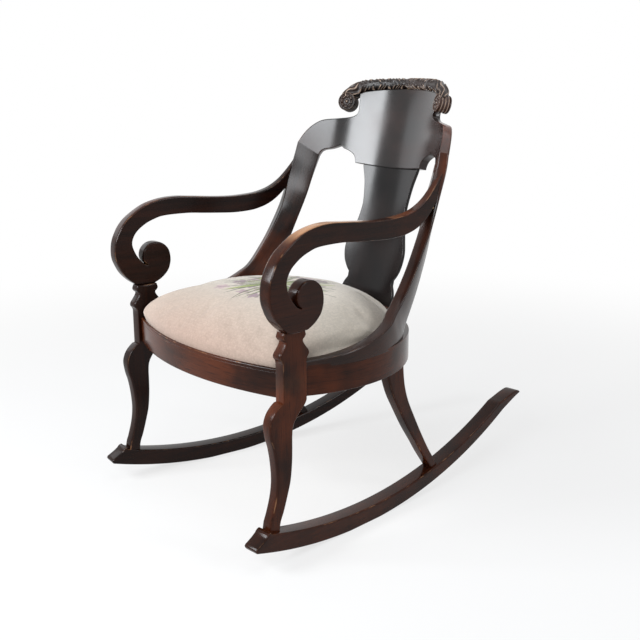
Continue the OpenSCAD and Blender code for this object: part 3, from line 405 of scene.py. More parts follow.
# The splat, whose shellac is as dark but rubbed duller
SPLAT_WOOD = mahogany(
    "rubbed_shellac_mahogany", colour("#060607"), colour("#0e0b0c"), colour("#3a2018"), colour("#7a5a48"),
    gloss=0.14, shine=0.24, edge_wear_and_glint=0.2, relief=0.1,
)
# The stiles, whose shellac is thinner: half way between the back's and the arms'
THINNED = mahogany(
    "thinned_shellac_mahogany", colour("#080606"), colour("#190f0c"), colour("#5c2d19"), colour("#8a6248"),
    gloss=0.16, shine=0.22, edge_wear_and_glint=0.3, relief=0.1,
)
# The same wood carved, with painted shade darkening its hollows, and ridges rubbed pale, partly wear and
# partly a painted highlight
CARVED = mahogany(
    "carved_waxed_mahogany_painted_shade", colour("#050404"), colour("#1a1311"), colour("#4a2e22"), colour("#a8917f"),
    gloss=0.28, shine=0.3, edge_wear_and_glint=0.9, relief=0.4, hollow=1.0, spots=(0.25, 0.5),
)


def raw_wood(name, pale, deep, long, wide):
    """Planed softwood or beech, unfinished: matt, with growth bands as stretched noise of that
    length and width in metres."""
    material, tree, shader = surface(name)
    spot = add(tree, "TexCoord", out="Object")
    stretched = add(tree, "VectorMath", (spot, (1 / long, 1 / wide, 1 / wide)), **PRODUCT)
    bands = add(tree, "TexNoise", {"Vector": stretched, "Scale": 1, "Detail": 5})
    late = add(tree, "MapRange", (bands, 0.35, 0.65), **SMOOTH)
    plug(shader, {
        "Base Color": add(tree, "Mix", {0: late, 6: pale, 7: deep}, MIXED, **COLOURS),
        "Normal": add(tree, "Bump", {"Height": bands, "Strength": 0.2, "Distance": 0.0004}),
        "Roughness": 0.72,
    })
    return material


# Planed pine and turned beech, left raw inside the seat: pale, dry and banded
PINE = raw_wood("planed_pine", colour("#c09a66"), colour("#946a3e"), 0.12, 0.006)
BEECH = raw_wood("turned_beech", colour("#d2b48a"), colour("#b08c5e"), 0.02, 0.002)


def drawn_steel():
    """Bare metal whose roughness and grey vary with one fine noise."""
    material, tree, shader = surface("drawn_steel")
    spot = add(tree, "TexCoord", out="Object")
    dull = add(tree, "TexNoise", {"Vector": spot, "Scale": 400, "Detail": 3})
    grey, dark = colour("#8b8d90"), colour("#5e5f61")
    plug(shader, {
        "Base Color": add(tree, "Mix", {0: dull, 6: grey, 7: dark}, MIXED, **COLOURS),
        "Roughness": add(tree, "MapRange", (dull, 0, 1, 0.28, 0.5)),
        "Metallic": 1.0,
    })
    return material


# Drawn screws and pressed tack heads: grey, slightly dulled, with soft broken highlights
STEEL = drawn_steel()


def woven(name, warp, weft, pitch):
    """Matt plain weave of that thread spacing in metres: two crossed waves, whose higher one shows."""
    material, tree, shader = surface(name)
    spot = add(tree, "TexCoord", out="Object")
    threads = [
        add(
            tree, "TexWave", {"Vector": spot, "Scale": math.pi / (20 * pitch), "Distortion": 0.6}, "Fac",
            bands_direction=way,
        )
        for way in ("X", "Y")
    ]
    over = add(tree, "MapRange", (add(tree, "Math", threads, operation="SUBTRACT"), -0.4, 0.4), **SMOOTH)
    height = add(tree, "Math", threads, operation="MAXIMUM")
    plug(shader, {
        "Base Color": add(tree, "Mix", {0: over, 6: warp, 7: weft}, MIXED, **COLOURS),
        "Normal": add(tree, "Bump", {"Height": height, "Strength": 0.5, "Distance": pitch / 4}),
        "Roughness": 0.9,
    })
    return material


# Jute webbing and burlap, as the upholsterer stretches them: coarse, dry, straw-brown threads
JUTE = woven("jute_webbing", colour("#b79b69"), colour("#8c7347"), 0.003)
BURLAP = woven("burlap", colour("#b99f72"), colour("#a38a5e"), 0.0025)

STITCH = 0.0042  # needlepoint stitches, drawn twice as coarse as the canvas so that they show


def needlepoint():
    """Wool needlepoint on canvas: matt small stitches, each of its own shade and darkened toward its
    edge by painted shade, a little soiled, in the thread colours of the mark "thread"."""
    material, tree, shader = surface("wool_needlepoint")
    spot = add(tree, "TexCoord", out="Object")
    flat = add(tree, "VectorMath", (spot, (1 / STITCH,) * 3), **PRODUCT)
    hump, shade = (
        add(tree, "TexVoronoi", {"Vector": flat, "Scale": 1, "Randomness": 0.55}, out)
        for out in ("Distance", "Color")
    )
    tone = add(tree, "SeparateColor", (shade,))
    soil = add(tree, "TexNoise", {"Vector": spot, "Scale": 7, "Detail": 4})
    wool = add(tree, "Attribute", out="Color", attribute_name="thread")
    # The first dimming darkens each stitch toward its edge: painted shade between the stitches
    for dimming in ((hump, 0.25, 0.7, 1.01, 0.92), (tone, 0, 1, 0.93, 1.04), (soil, 0.3, 0.7, 0.94, 1.02)):
        by = add(tree, "MapRange", dimming)
        wool = add(tree, "VectorMath", {0: wool, "Scale": by}, operation="SCALE")
    plug(shader, {
        "Base Color": wool, "Roughness": 0.95, "Specular IOR Level": 0.2,
        "Sheen Weight": 0.25, "Sheen Roughness": 0.5,
        "Normal": add(tree, "Bump", {"Height": hump, "Strength": 0.2, "Distance": -0.0008}),
    })
    return material


# Wool needlepoint, worked in small stitches: matt, soft, with a slight bloom
WOOL = needlepoint()

# Boards of the base and the arms
BOTH = (("right", 1), ("left", -1))


def on_board(half, splay, way, depth=None):
    """Place on a board that stands on edge: its outer face passes x = half at y = 0 and turns in
    by splay: x = half - d cos s - u sin s, y = u cos s - d sin s, at depth d below that face."""

    def spot(u, v, d):
        d = d if depth is None else depth(u, v, d)
        x = half - d * math.cos(splay) - u * math.sin(splay)
        return np.stack([way * x, u * math.cos(splay) - d * math.sin(splay), v], 1)

    return spot


def arc_z(y):
    """Height of the rockers' lower edge, on a circle that is flat on the floor."""
    return ROCKER_R - np.sqrt(ROCKER_R**2 - np.asarray(y, float) ** 2) - CONTACT_RISE


TOE = [[-0.06, 0.08], [-0.09, 0.17], [-0.03, 0.28], [0.2, 0.41], [0.45, 0.56], [0.67, 0.72]]
BEAD = [[0.72, 0.79], [0.80, 0.86], [0.90, 0.9], [1.0, 0.9]]
TAIL = [
    [0.2, 0.105], [0.4, 0.19], [0.7, 0.312], [0.98, 0.42], [1, 0.45], [0.97, 0.49], [0.88, 0.515],
    [0.77, 0.51], [0.6, 0.483], [0.4, 0.437], [0.2, 0.385],
]


def rocker_outline():
    """Lower arc, tail, upper arc thinning to the back, and the toe with its bead."""
    ahead, behind = np.linspace(-ROCKER_FRONT, -CONTACT_END, 22), np.linspace(CONTACT_END, ROCKER_BACK, 40)
    y = np.concatenate([ahead, behind])
    bottom = np.stack([y, arc_z(y)], 1)
    top_y = np.linspace(ROCKER_BACK, ROCKER_D - ROCKER_FRONT, 60)
    top = np.stack([top_y, arc_z(top_y) + ROCKER_D - ROCKER_THIN * top_y / ROCKER_BACK], 1)
    tail = scaled(TAIL, TAIL_LEN, TAIL_LEN, ROCKER_BACK, float(arc_z(ROCKER_BACK)))
    toe = scaled(TOE + BEAD, ROCKER_D, ROCKER_D, -ROCKER_FRONT, float(arc_z(ROCKER_FRONT)))
    return joined(bottom, smooth(tail, 3), top, toe[::-1])


LEG_FRONT = [
    [-1.18, 0.2], [-1.13, 0.262], [-1.02, 0.315], [-0.86, 0.412], [-0.79, 0.51], [-0.825, 0.616],
    [-0.915, 0.715], [-1.03, 0.787], [-1.08, 0.855], [-1.03, 0.897], [-0.92, 0.934], [-0.755, 0.966],
    [-0.59, 0.988],
]
LEG_BACK = [
    [0.5, 0.985], [0.43, 0.96], [0.155, 0.905], [-0.045, 0.848], [-0.1, 0.786], [-0.105, 0.7],
    [-0.12, 0.613], [-0.19, 0.503], [-0.335, 0.409], [-0.5, 0.318], [-0.63, 0.262], [-0.7, 0.2],
]
NECK = [
    [0.5, 0], [0.55, 0.1], [0.622, 0.19], [0.61, 0.31], [0.5, 0.45], [0.39, 0.6], [0.37, 0.69],
    [0.43, 0.74], [0.49, 0.83], [0.47, 0.93], [0.43, 1],
]


def leg_outline():
    """Scrolled leg, rail block and baluster neck, as (along Y, up Z)."""
    front = smooth(scaled(LEG_FRONT, BLOCK_D, RAIL_BASE, -LEG_AHEAD), 5)
    back = smooth(scaled(LEG_BACK, BLOCK_D, RAIL_BASE, -LEG_AHEAD), 5)
    neck = smooth(scaled(NECK, BLOCK_D, NECK_H, 0, BLOCK_TOP), 5)
    ahead = -LEG_AHEAD - BLOCK_D / 2
    block = [[ahead, RAIL_BASE - BLOCK_D / 18], [ahead, RAIL_BASE]]
    return joined(front, block, neck * [-1, 1] - [LEG_AHEAD, 0], (neck - [LEG_AHEAD, 0])[::-1], back)


REAR_FRONT = [
    [0, 1], [0.075, 0.89], [0.15, 0.8], [0.29, 0.68], [0.455, 0.545], [0.65, 0.406], [0.78, 0.31],
    [0.99, 0.17], [1.03, 0.14],
]
REAR_BACK = [
    [0.34, 1], [0.38, 0.86], [0.46, 0.74], [0.595, 0.61], [0.745, 0.475], [0.92, 0.33], [1.1, 0.2],
    [1.17, 0.14],
]
ARM_TOP = [
    [0.882, 1.358], [0.818, 1.195], [0.776, 1.105], [0.729, 1.037], [0.682, 0.995], [0.622, 0.966],
    [0.516, 0.95], [0.41, 0.958], [0.282, 0.984], [0.186, 1], [0.101, 0.984], [0.018, 0.926],
    [-0.059, 0.811], [-0.099, 0.716], [-0.124, 0.616], [-0.139, 0.526], [-0.145, 0.432],
    [-0.144, 0.337], [-0.133, 0.253], [-0.11, 0.147], [-0.076, 0.058], [-0.043, 0],
]
VOLUTE = [
    [0.051, 0], [0.088, 0.047], [0.122, 0.126], [0.137, 0.216], [0.139, 0.305], [0.129, 0.395],
    [0.101, 0.463], [0.065, 0.487], [0.029, 0.468], [0.003, 0.405], [-0.005, 0.326], [0.003, 0.263],
    [0.02, 0.224],
]
ARM_UNDER = [
    [0.02, 0.224], [-0.003, 0.253], [-0.029, 0.326], [-0.046, 0.405], [-0.055, 0.484],
    [-0.049, 0.553], [-0.031, 0.621], [-0.005, 0.674], [0.027, 0.721], [0.063, 0.755],
    [0.099, 0.779], [0.154, 0.789], [0.246, 0.789], [0.324, 0.774], [0.41, 0.758], [0.505, 0.745],
    [0.597, 0.753], [0.648, 0.774], [0.695, 0.808], [0.741, 0.863], [0.788, 0.947], [0.835, 1.053],
]


def arm_outline():
    """A long S from the stile to the volute over the leg, and back along its underside."""
    runs = (ARM_TOP, VOLUTE, ARM_UNDER)
    return joined(*(smooth(scaled(run, ARM_LEN, ARM_RISE, -LEG_AHEAD, LEG_TOP), 5) for run in runs))


# How far the arm tail's outer face is drawn in, and the heights between which it is
TAIL_FLUSH, TAIL_START, TAIL_WHOLE = 10.0, 585, 700
# Shares of the arm's length between which its thickness goes down to the tail's
THIN_START, THIN_END = 0.45, 0.9
# Arrises as their pairs of inset and depth, and of the front leg's block, leg and neck
ROCKER_ARRIS, REAR_ARRIS, ARM_ARRIS = (3.0, 3.5), (4.0, 4.5), (2.6, 6.5)
BLOCK_ARRIS, SCROLL_ARRIS, NECK_ARRIS = 1.8, 5.0, 4.0
# How far the polish is worn, on the right-hand side and on the left, which is darker: the left's lower
# value is painted shade on the chair's far side
ROCKER_WORN_AND_SHADE, REAR_WORN_AND_SHADE, LEG_WORN_AND_SHADE, ARM_WORN_AND_SHADE = (0.3, 0.05), (0.35, 0.08), (0.4, 0.03), (0.15, 0.05)
# Where hands and feet have worn it most: the leg's knee, the arm's bend and its tail
KNEE_Z, KNEE_SPREAD, BEND_Y, BEND_LONG, BEND_Z, BEND_HIGH = 350, 60, -110, 120, 640, 50
ARM_TAIL_Z, ARM_TAIL_HIGH, ARM_TAIL_Y = 560, 60, 60


def arm_depth(u, v, d):
    """Depth in the arm: its thickness goes down evenly to the tail's, and the tail's outer face
    is drawn in by a soft step to run out in the stile."""
    thinning = ((u + LEG_AHEAD) / ARM_LEN - THIN_START) / (THIN_END - THIN_START)
    thick = ARM_T + (ARM_TAIL_T - ARM_T) * np.clip(thinning, 0, 1)
    drawn = TAIL_FLUSH * soft_step(v, TAIL_START, TAIL_WHOLE)
    return drawn + d / ARM_T * (thick - drawn)


def leg_ease(outline):
    """The block's small arris, which grows to the leg's in the 40 mm below the block and to the
    neck's in the 12 mm above it."""
    below = np.clip((RAIL_BASE - 20 - outline[:, 1]) / 40, 0, 1)
    above = np.clip((outline[:, 1] - BLOCK_TOP) / 12, 0, 1)
    return BLOCK_ARRIS + (SCROLL_ARRIS - BLOCK_ARRIS) * below + (NECK_ARRIS - BLOCK_ARRIS) * above


def leg_warmth(points, wall):
    """Redder on the right-hand leg, most on its block and knee, than on the left-hand leg, which is held
    dark as painted shade.
    """
    knee = hill(points[:, 2], KNEE_Z, KNEE_SPREAD)
    return np.where(points[:, 0] > 0, LEG_WORN_AND_SHADE[0] + 0.6 * knee, LEG_WORN_AND_SHADE[1])


def arm_warmth(points, wall):
    """Polish worn thin by hands along the arm's upper edge, most over its bend; the left-hand arm is held
    darker as painted shade.
    """
    x, y, z = points.T
    bend = hill(y, BEND_Y, BEND_LONG) * hill(z, BEND_Z, BEND_HIGH)
    tail = np.clip((z - ARM_TAIL_Z) / ARM_TAIL_HIGH, 0, 1) * (y > ARM_TAIL_Y)
    return np.where(x > 0, ARM_WORN_AND_SHADE[0] + wall * (2.5 * bend + 0.8 * tail), ARM_WORN_AND_SHADE[1] + 0.5 * bend * wall)


# The left-hand pieces take the lower warmth, which is painted shade
for k, (side, way) in enumerate(BOTH):
    plate(
        f"rocker_board_{side}", [f"rocker_{side}"], rocker_outline(), ROCKER_T, *ROCKER_ARRIS,
        on_board(ROCKER_HALF, ROCKER_SPLAY, way), POLISHED, ROCKER_WORN_AND_SHADE[k],
    )
    plate(
        f"scrolled_leg_{side}", [f"front_leg_{side}"], leg_outline(), LEG_T, leg_ease, leg_ease,
        on_board(LEG_HALF + LEG_T, 0.0, way), POLISHED, leg_warmth, upright=True,
    )
    rear = joined(
        smooth(scaled(REAR_FRONT, REAR_LEG_RUN, RAIL_BASE, REAR_LEG_START), 5),
        smooth(scaled(REAR_BACK, REAR_LEG_RUN, RAIL_BASE, REAR_LEG_START), 5)[::-1],
    )
    plate(
        f"raked_leg_{side}", [f"rear_leg_{side}"], rear, REAR_LEG_T, *REAR_ARRIS,
        on_board(REAR_LEG_HALF, ROCKER_SPLAY, way), POLISHED, REAR_WORN_AND_SHADE[k], upright=True,
    )
    plate(
        f"scroll_arm_{side}", [f"arm_{side}"], arm_outline(), ARM_T, *ARM_ARRIS,
        on_board(ARM_HALF, ARM_SPLAY, way, arm_depth), POLISHED, arm_warmth,
    )

# Stiles
# Rows of shares of the seat's radius and the back's height: the upper edge's place, the lower
# edge's, the thickness, and how far it is turned, in degrees
STILE = [
    [0.8665, -0.415, 0.0135, 0.8665, -0.415, 0, 1, -25.3],
    [0.873, -0.4, 0.0135, 0.873, -0.4, 0, 1, -24.6],
    [0.937, -0.213, 0.025, 0.94, -0.193, 0, 1, -12.8],
    [0.959, -0.047, 0.04, 0.96, -0.013, 0, 1, -2.8],
    [0.952, 0.12, 0.062, 0.937, 0.21, 0, 1, 7.2],
    [0.921, 0.27, 0.095, 0.873, 0.377, 0, 1, 16],
    [0.88, 0.36, 0.131, 0.817, 0.477, 0.004, 1, 21],
    [0.853, 0.443, 0.17, 0.777, 0.543, 0.041, 1, 22],
    [0.836, 0.548, 0.253, 0.753, 0.647, 0.141, 1, 21],
    [0.823, 0.635, 0.336, 0.742, 0.72, 0.237, 1.02, 21],
    [0.8105, 0.7435, 0.461, 0.7165, 0.8145, 0.373, 1.08, 22],
    [0.811, 0.816, 0.585, 0.671, 0.903, 0.512, 1, 34],
    [0.806, 0.888, 0.697, 0.66, 0.984, 0.634, 0.86, 45],
    [0.7957, 0.9206, 0.7621, 0.6527, 1.0241, 0.6974, 0.8, 50],
]
# How far the stiles' feet are sunk in the rail, and the share of the back's height up to which
STILE_SINK, SINK_SHARE = 6.0, 0.06
# Arrises along the stile and where its foot lies on the rail, with the height above the rail in
# which the one grows to the other
STILE_ARRIS, FOOT_ARRIS, FOOT_CLEAR = 3.6, 0.5, 25
# How they change toward the scarf, and the height where that starts and over which it goes on
SCARF_CHANGE, SCARF_START, SCARF_RUN = 1.9, 690, 45
# How far the thickness leans with the crest's, and the turns in degrees over which it comes up
SCARF_LEAN, LEAN_START, LEAN_RUN = -0.19, 30, 20
CORNER_STEPS = 5
# Least wear, how much more, the height where that starts and where it is whole: right, left
STILE_WORN = ((0.2, 0.7, 640, 700), (0.05, 0.65, 680, 540))


def stile_edges(rows):
    """Upper edge, lower edge, half thickness and thickness direction for each row of shares. Where
    it lies along the rail its foot is sunk in it, and toward the scarf its thickness leans with
    the crest's."""
    scale, start = [SEAT_R, SEAT_R, BACK_H], [0, -SEAT_AHEAD, RAIL_TOP]
    upper = rows[:, :3] * scale + start
    lower = np.stack([rows[:, 3], rows[:, 4], np.maximum(rows[:, 5], 0)], 1) * scale + start
    lower[:, 2] -= STILE_SINK * np.clip(1 - rows[:, 5] / SINK_SHARE, 0, 1)
    turn, lean = np.radians(rows[:, 7]), SCARF_LEAN * np.clip((rows[:, 7] - LEAN_START) / LEAN_RUN, 0, 1)
    return upper, lower, rows[:, 6] * STILE_T / 2, np.stack([np.cos(turn), np.sin(turn), lean], 1)


def stile(side, way, worn):
    """Sections from the upper to the lower edge with rounded corners, carried from the leg
    along the rail and up to the crest's scarf."""
    rows = smooth(STILE, 7)
    upper, lower, half, across = stile_edges(rows)
    down = lower - upper
    long = np.linalg.norm(down, axis=1)[:, None]
    down = down / long
    quarter = np.linspace(0, np.pi / 2, CORNER_STEPS)
    turns = np.concatenate([quarter + k * np.pi / 2 for k in range(4)])
    # From the corner that lies outside and low, round to the one that lies outside and high
    corners = [[True, True], [False, True], [False, False], [True, False]]
    outside, low = np.repeat(corners, CORNER_STEPS, 0).T
    # The lower edge is nearly sharp where it lies on the rail
    clear = np.clip((lower[:, 2] - RAIL_TOP) / FOOT_CLEAR, 0, 1)[:, None]
    near_scarf = np.clip((upper[:, 2] - SCARF_START) / SCARF_RUN, 0, 1)[:, None]
    fine = STILE_ARRIS + SCARF_CHANGE * near_scarf * np.where(outside & ~low, 1, -1)
    foot = np.minimum(FOOT_ARRIS + (STILE_ARRIS - FOOT_ARRIS) * clear, fine)
    ease = np.minimum(np.where(low, foot, fine), 0.3 * long)
    x = np.where(outside, 1, -1) * (half[:, None] - ease) + ease * np.cos(turns)
    y = np.where(low, long - ease, ease) + ease * np.sin(turns)
    rings = (upper[:, None] + across[:, None] * x[..., None] + down[:, None] * y[..., None]) * [way, 1, 1]
    run = np.concatenate([[0], np.cumsum(np.linalg.norm(np.diff((upper + lower) / 2, axis=0), axis=1))])
    least, more, start, whole = worn
    warm = least + more * np.clip((rings[..., 2] - start) / (whole - start), 0, 1)
    marks = wood_marks(np.tile(np.sin(2 * quarter), 4), run[:, None], y, x, warm)
    points = rings.reshape(-1, 3)
    piece(f"gondola_stile_{side}", points, skin(rings), THINNED, [f"stile_{side}"], marks=marks)


# The right-hand stile is redder toward its top, and the left-hand one toward its foot
for (side, way), worn in zip(BOTH, STILE_WORN):
    stile(side, way, worn)

# Seat rails
RAIL_WORN = 0.42  # how thin their polish is worn
TUB_ARRIS, SHOE_ARRIS = [3.0, 1.0, 1.5, 1.5], [0.4, 1.5, 2, 2, 1.5, 0.4]
# The front rail's: its foot, the quirk's three corners, the bead, and then those that are hidden
LIP_ARRIS = [4, 0.4, 0.4, 0.4, 4.6, 1.2, 0.5, 1.5, 2]
# The groove under the front rail's bead: how far below its top, its half width and its depth
QUIRK_DROP, QUIRK_HALF, QUIRK_DEEP = 7.6, 0.8, 0.9
# The shoe's steps: in from the rail at its foot, up to its shoulder, and in at its top
SHOE_INSET, SHOE_STEP, SHOE_TOP_INSET = 2, 5, 8
INTO_LEG = 0.03  # angle by which the side rails run into the legs

tub, tub_marks = rounded([
    [SEAT_R, RAIL_BASE], [SEAT_R, RAIL_TOP], [SEAT_R - RAIL_T, RAIL_TOP], [SEAT_R - RAIL_T, RAIL_BASE],
], TUB_ARRIS)
leg_back_y = -LEG_AHEAD + BLOCK_D / 2
leg_angle = math.pi / 2 - math.asin((leg_back_y + SEAT_AHEAD) / SEAT_R)
joint_angle = math.pi / 2 - REAR_JOINT
along_side = np.linspace(joint_angle, leg_angle + INTO_LEG, 60)
for name, rail, angles in (
    ("right", "side_rail_right", along_side), ("left", "side_rail_left", -along_side),
    ("rear", "rear_rail", np.linspace(-joint_angle, joint_angle, 90)),
):
    swept(f"tub_rail_{name}", [rail], tub, tub_marks, angles, -SEAT_AHEAD)

quirk_z, behind_lip, inner = LIP_TOP - QUIRK_DROP, FRONT_R - LIP_T, FRONT_R - RAIL_T
lip, lip_marks = rounded([
    [FRONT_R, RAIL_BASE], [FRONT_R, quirk_z - QUIRK_HALF], [FRONT_R - QUIRK_DEEP, quirk_z],
    [FRONT_R, quirk_z + QUIRK_HALF], [FRONT_R, LIP_TOP], [behind_lip, LIP_TOP], [behind_lip, REBATE_Z],
    [inner, REBATE_Z], [inner, RAIL_BASE],
], LIP_ARRIS)
front_turn = math.asin((LEG_HALF + 1) / FRONT_R)
along_front = np.pi + np.linspace(-front_turn, front_turn, 110)
swept("bowed_front_rail", ["front_rail"], lip, lip_marks, along_front, FRONT_YC)

outer, inner, shoe_top = SEAT_R - SHOE_INSET, SEAT_R - RAIL_T + SHOE_INSET, RAIL_TOP + SHOE_H
shoe, shoe_marks = rounded([
    [outer, RAIL_TOP], [outer, RAIL_TOP + SHOE_STEP], [SEAT_R - SHOE_TOP_INSET, shoe_top],
    [SEAT_R - RAIL_T + SHOE_TOP_INSET, shoe_top], [inner, RAIL_TOP + SHOE_STEP], [inner, RAIL_TOP],
], SHOE_ARRIS)
shoe_turn = math.asin((SPLAT_HALF + SHOE_H / 2) / SEAT_R)
along_shoe = np.linspace(-shoe_turn, shoe_turn, 50)
swept("moulded_splat_shoe", ["splat_shoe"], shoe, shoe_marks, along_shoe, -SEAT_AHEAD)


# The hollow back
def leaned(u, deep, v):
    """Place at u across, deep behind the shell's middle line and v up it, which leans back by
    the rake."""
    c, s = math.cos(BACK_RAKE), math.sin(BACK_RAKE)
    return np.stack([u, BACK_REACH + deep * c + v * s, BACK_BASE - deep * s + v * c], -1)


def on_back(u, v, d):
    """Place on the back's hollow shell, d behind its face: on a circle of the shell's radius plus
    d, u across and v up it."""
    return leaned(u, np.sqrt((BACK_R + d) ** 2 - u**2) - BACK_R, v)


CREST_TOP = [[0, 1], [0.235, 0.995], [0.376, 0.987], [0.485, 0.976], [0.53, 0.964]]
CREST_SHOULDER = [
    [0.527, 0.945], [0.517, 0.905], [0.515, 0.88], [0.536, 0.864], [0.59, 0.852], [0.7, 0.839],
    [0.821, 0.824], [0.885, 0.803], [0.934, 0.774], [0.971, 0.74], [1.0, 0.7], [1.016, 0.672],
]
CREST_UNDER = [
    [0.84, 0.61], [0.815, 0.655], [0.798, 0.675], [0.769, 0.686], [0.71, 0.696], [0.665, 0.707],
    [0.632, 0.717],
]
CREST_EAR = [[0.595, 0.704], [0.538, 0.696], [0.487, 0.683], [0.462, 0.668], [0.447, 0.645]]
CREST_FOOT = [[0.256, 0.642], [0, 0.641]]
SPLAT_UPPER = [
    [0.918, 0.65], [0.918, 0.635], [0.827, 0.582], [0.776, 0.535], [0.74, 0.481], [0.745, 0.444],
    [0.796, 0.388], [0.898, 0.33], [0.99, 0.278], [1, 0.237], [0.949, 0.194], [0.857, 0.162],
    [0.77, 0.142],
]
SPLAT_LOWER = [[0.77, 0.118], [0.837, 0.097], [0.878, 0.076], [0.888, 0.055], [0.857, 0.026], [0.816, 0]]

CREST_ARRIS, CREST_BACK_ARRIS = (1.6, 1.8), (2.5, 4.0)
SPLAT_ARRIS, SPLAT_BACK_ARRIS = (1.4, 1.6), (2.0, 3.0)
SHELL_GAP = 8  # between the points that make the hollow faces
# How far the crest's ends come forward, and how far out from the middle that starts and is whole
END_FORWARD, END_START, END_WHOLE = 3.2, 165, 235
# How far out the crest's edge is worn, on both sides and more so on the right
WORN_OUT, WORN_RIGHT = 150, 190
SPLAT_WORN = 0.1


def mirrored(half):
    """A closed outline from its half and the half's mirror image."""
    return joined(half, (half * [-1, 1])[::-1])


def on_crest(u, v, d):
    """Place on the crest rail: as on_back, but d runs square through the shell, along its radius,
    and its ends come forward by a soft step to run flush into the stiles."""
    d = d - END_FORWARD * soft_step(np.abs(u), END_START, END_WHOLE)
    return on_back(u * (1 + d / BACK_R), v, d)


def on_splat(u, v, d):
    """Place on the splat, which lies a little behind the shell's face."""
    return on_back(u, v, d + SPLAT_INSET)


def crest_warmth(points, wall):
    """Red-brown on the crest's edge at its two ends only, most at the right-hand one."""
    x = points[:, 0]
    return 0.12 + (wall > 0.5) * (0.4 * (np.abs(x) > WORN_OUT) + 0.45 * (x > WORN_RIGHT))


def cut_to_scarfs(thing):
    """Takes off the crest's ends past the two scarf planes, whose edges are the stiles' last
    rows, and closes the cuts."""
    upper, lower, _, across = (v[-1] for v in stile_edges(np.asarray(STILE, float)))
    shape = bmesh.new()
    shape.from_mesh(thing.data)
    for way in (1, -1):
        normal = np.cross(across, lower - upper) * [way, 1, 1]
        normal = normal if normal[2] < 0 else -normal
        parts = shape.verts[:] + shape.edges[:] + shape.faces[:]
        cut = bmesh.ops.bisect_plane(
            shape, geom=parts, dist=1e-6, plane_co=place(upper * [way, 1, 1]), plane_no=normal,
            clear_outer=True,
        )
        rim = [e for e in cut["geom_cut"] if isinstance(e, bmesh.types.BMEdge)]
        bmesh.ops.contextual_create(shape, geom=rim)
    shape.to_mesh(thing.data)
    shape.free()
    thing.data.set_sharp_from_angle(angle=math.radians(SHARP))


crest_runs = ((CREST_TOP, 6), (CREST_SHOULDER, 6), (CREST_UNDER, 5), (CREST_EAR, 5), (CREST_FOOT, 1))
crest_half = np.concatenate([smooth(scaled(run, CREST_HALF, CREST_H), steps) for run, steps in crest_runs])
crest = plate(
    "hollow_crest_rail", ["crest_rail"], mirrored(crest_half), CREST_T, *CREST_ARRIS,
    on_crest, SHELLACKED, crest_warmth, back=CREST_BACK_ARRIS, fill=SHELL_GAP,
)
cut_to_scarfs(crest)
splat_runs = (SPLAT_UPPER, SPLAT_LOWER)
splat_half = np.concatenate([smooth(scaled(run, SPLAT_HALF, CREST_H), 6) for run in splat_runs])
plate(
    "vase_splat", ["splat"], mirrored(splat_half), SPLAT_T, *SPLAT_ARRIS,
    on_splat, SPLAT_WOOD, SPLAT_WORN, back=SPLAT_BACK_ARRIS, fill=SHELL_GAP, upright=True,
)

# Carved cap
CAP_TOP = [[0, 1], [0.24, 0.98], [0.52, 0.87], [0.8, 0.62], [0.96, 0.14], [1.06, -0.45], [1.11, -1]]
CAP_MID, CAP_HALF_T = (CREST_T - CAP_FRONT) / 2, (CREST_T + CAP_FRONT) / 2
# Sections of half the roll and points round each, the power of its superellipse, the least half
# height that the carving is scaled to, and how wide its wood counts on each side of the top
CAP_SECTIONS, CAP_AROUND, CAP_POWER, CAP_LEAST, CAP_GIRTH = 170, 84, 0.8, 12, 28
CARVED_DEEP = 2.8  # from the carving's ridges to its ground
LEAF_LONG, LEAF_START = 58.0, 9  # length of a running leaf, and how much of the first is cut off
# How far out the running leaves give way to the curled end leaf, and over what length
CURL_START, CURL_RUN = 112, 26
CAP_WORN, SCROLL_WORN = 0.25, 0.6
CARVED_SHARP = 80  # as SHARP, for carvings


def resampled(curve, count):
    """A curve's points at equal steps of its length, with that length."""
    run = np.concatenate([[0], np.cumsum(np.linalg.norm(np.diff(curve, axis=0), axis=1))])
    at = np.linspace(0, run[-1], count)
    return np.stack([np.interp(at, run, curve[:, k]) for k in range(curve.shape[1])], 1), at


def leaves(along, round_):
    """Relief of running leaves, from 0 to 1: the edge of each is a sine of its length, with a
    groove down the middle and narrow veins that slant back from it; the ground is punched."""
    p = np.mod(along, LEAF_LONG) / LEAF_LONG
    v = np.abs(round_)
    edge = 0.5 + 0.4 * np.sin(np.pi * p) ** 0.7 + 0.1 * np.sin(10 * np.pi * p)
    blade = 1 / (1 + np.exp((v - edge) * 14))
    veins = (0.5 + 0.5 * np.cos(2 * np.pi * (4.6 * p + 2.0 * v + 0.4 * np.sin(5 * v + along / 8)))) ** 2.2
    rib = hill(v, 0, 0.06)
    ground = 0.16 * np.sin(along * 1.7) * np.sin(round_ * 23)
    return np.clip(blade * (0.25 + 0.85 * veins) * (1 - 0.8 * rib) + ground, 0, 1.1)


def flutes(along, round_):
    """Relief of the curled leaf at the ends: ridges that run with the curl and waver."""
    return (0.5 + 0.5 * np.cos(2 * np.pi * (3.4 * round_ + 0.35 * np.sin(along / 7) + along / 60))) ** 1.6


def carved(name, points, *marks):
    """A carved piece of the crest's cap from its rings and the marks of its wood."""
    piece(
        f"carved_{name}", points.reshape(-1, 3), skin(points), CARVED, ["crest_cap"],
        marks=wood_marks(*marks), sharp=CARVED_SHARP,
    )


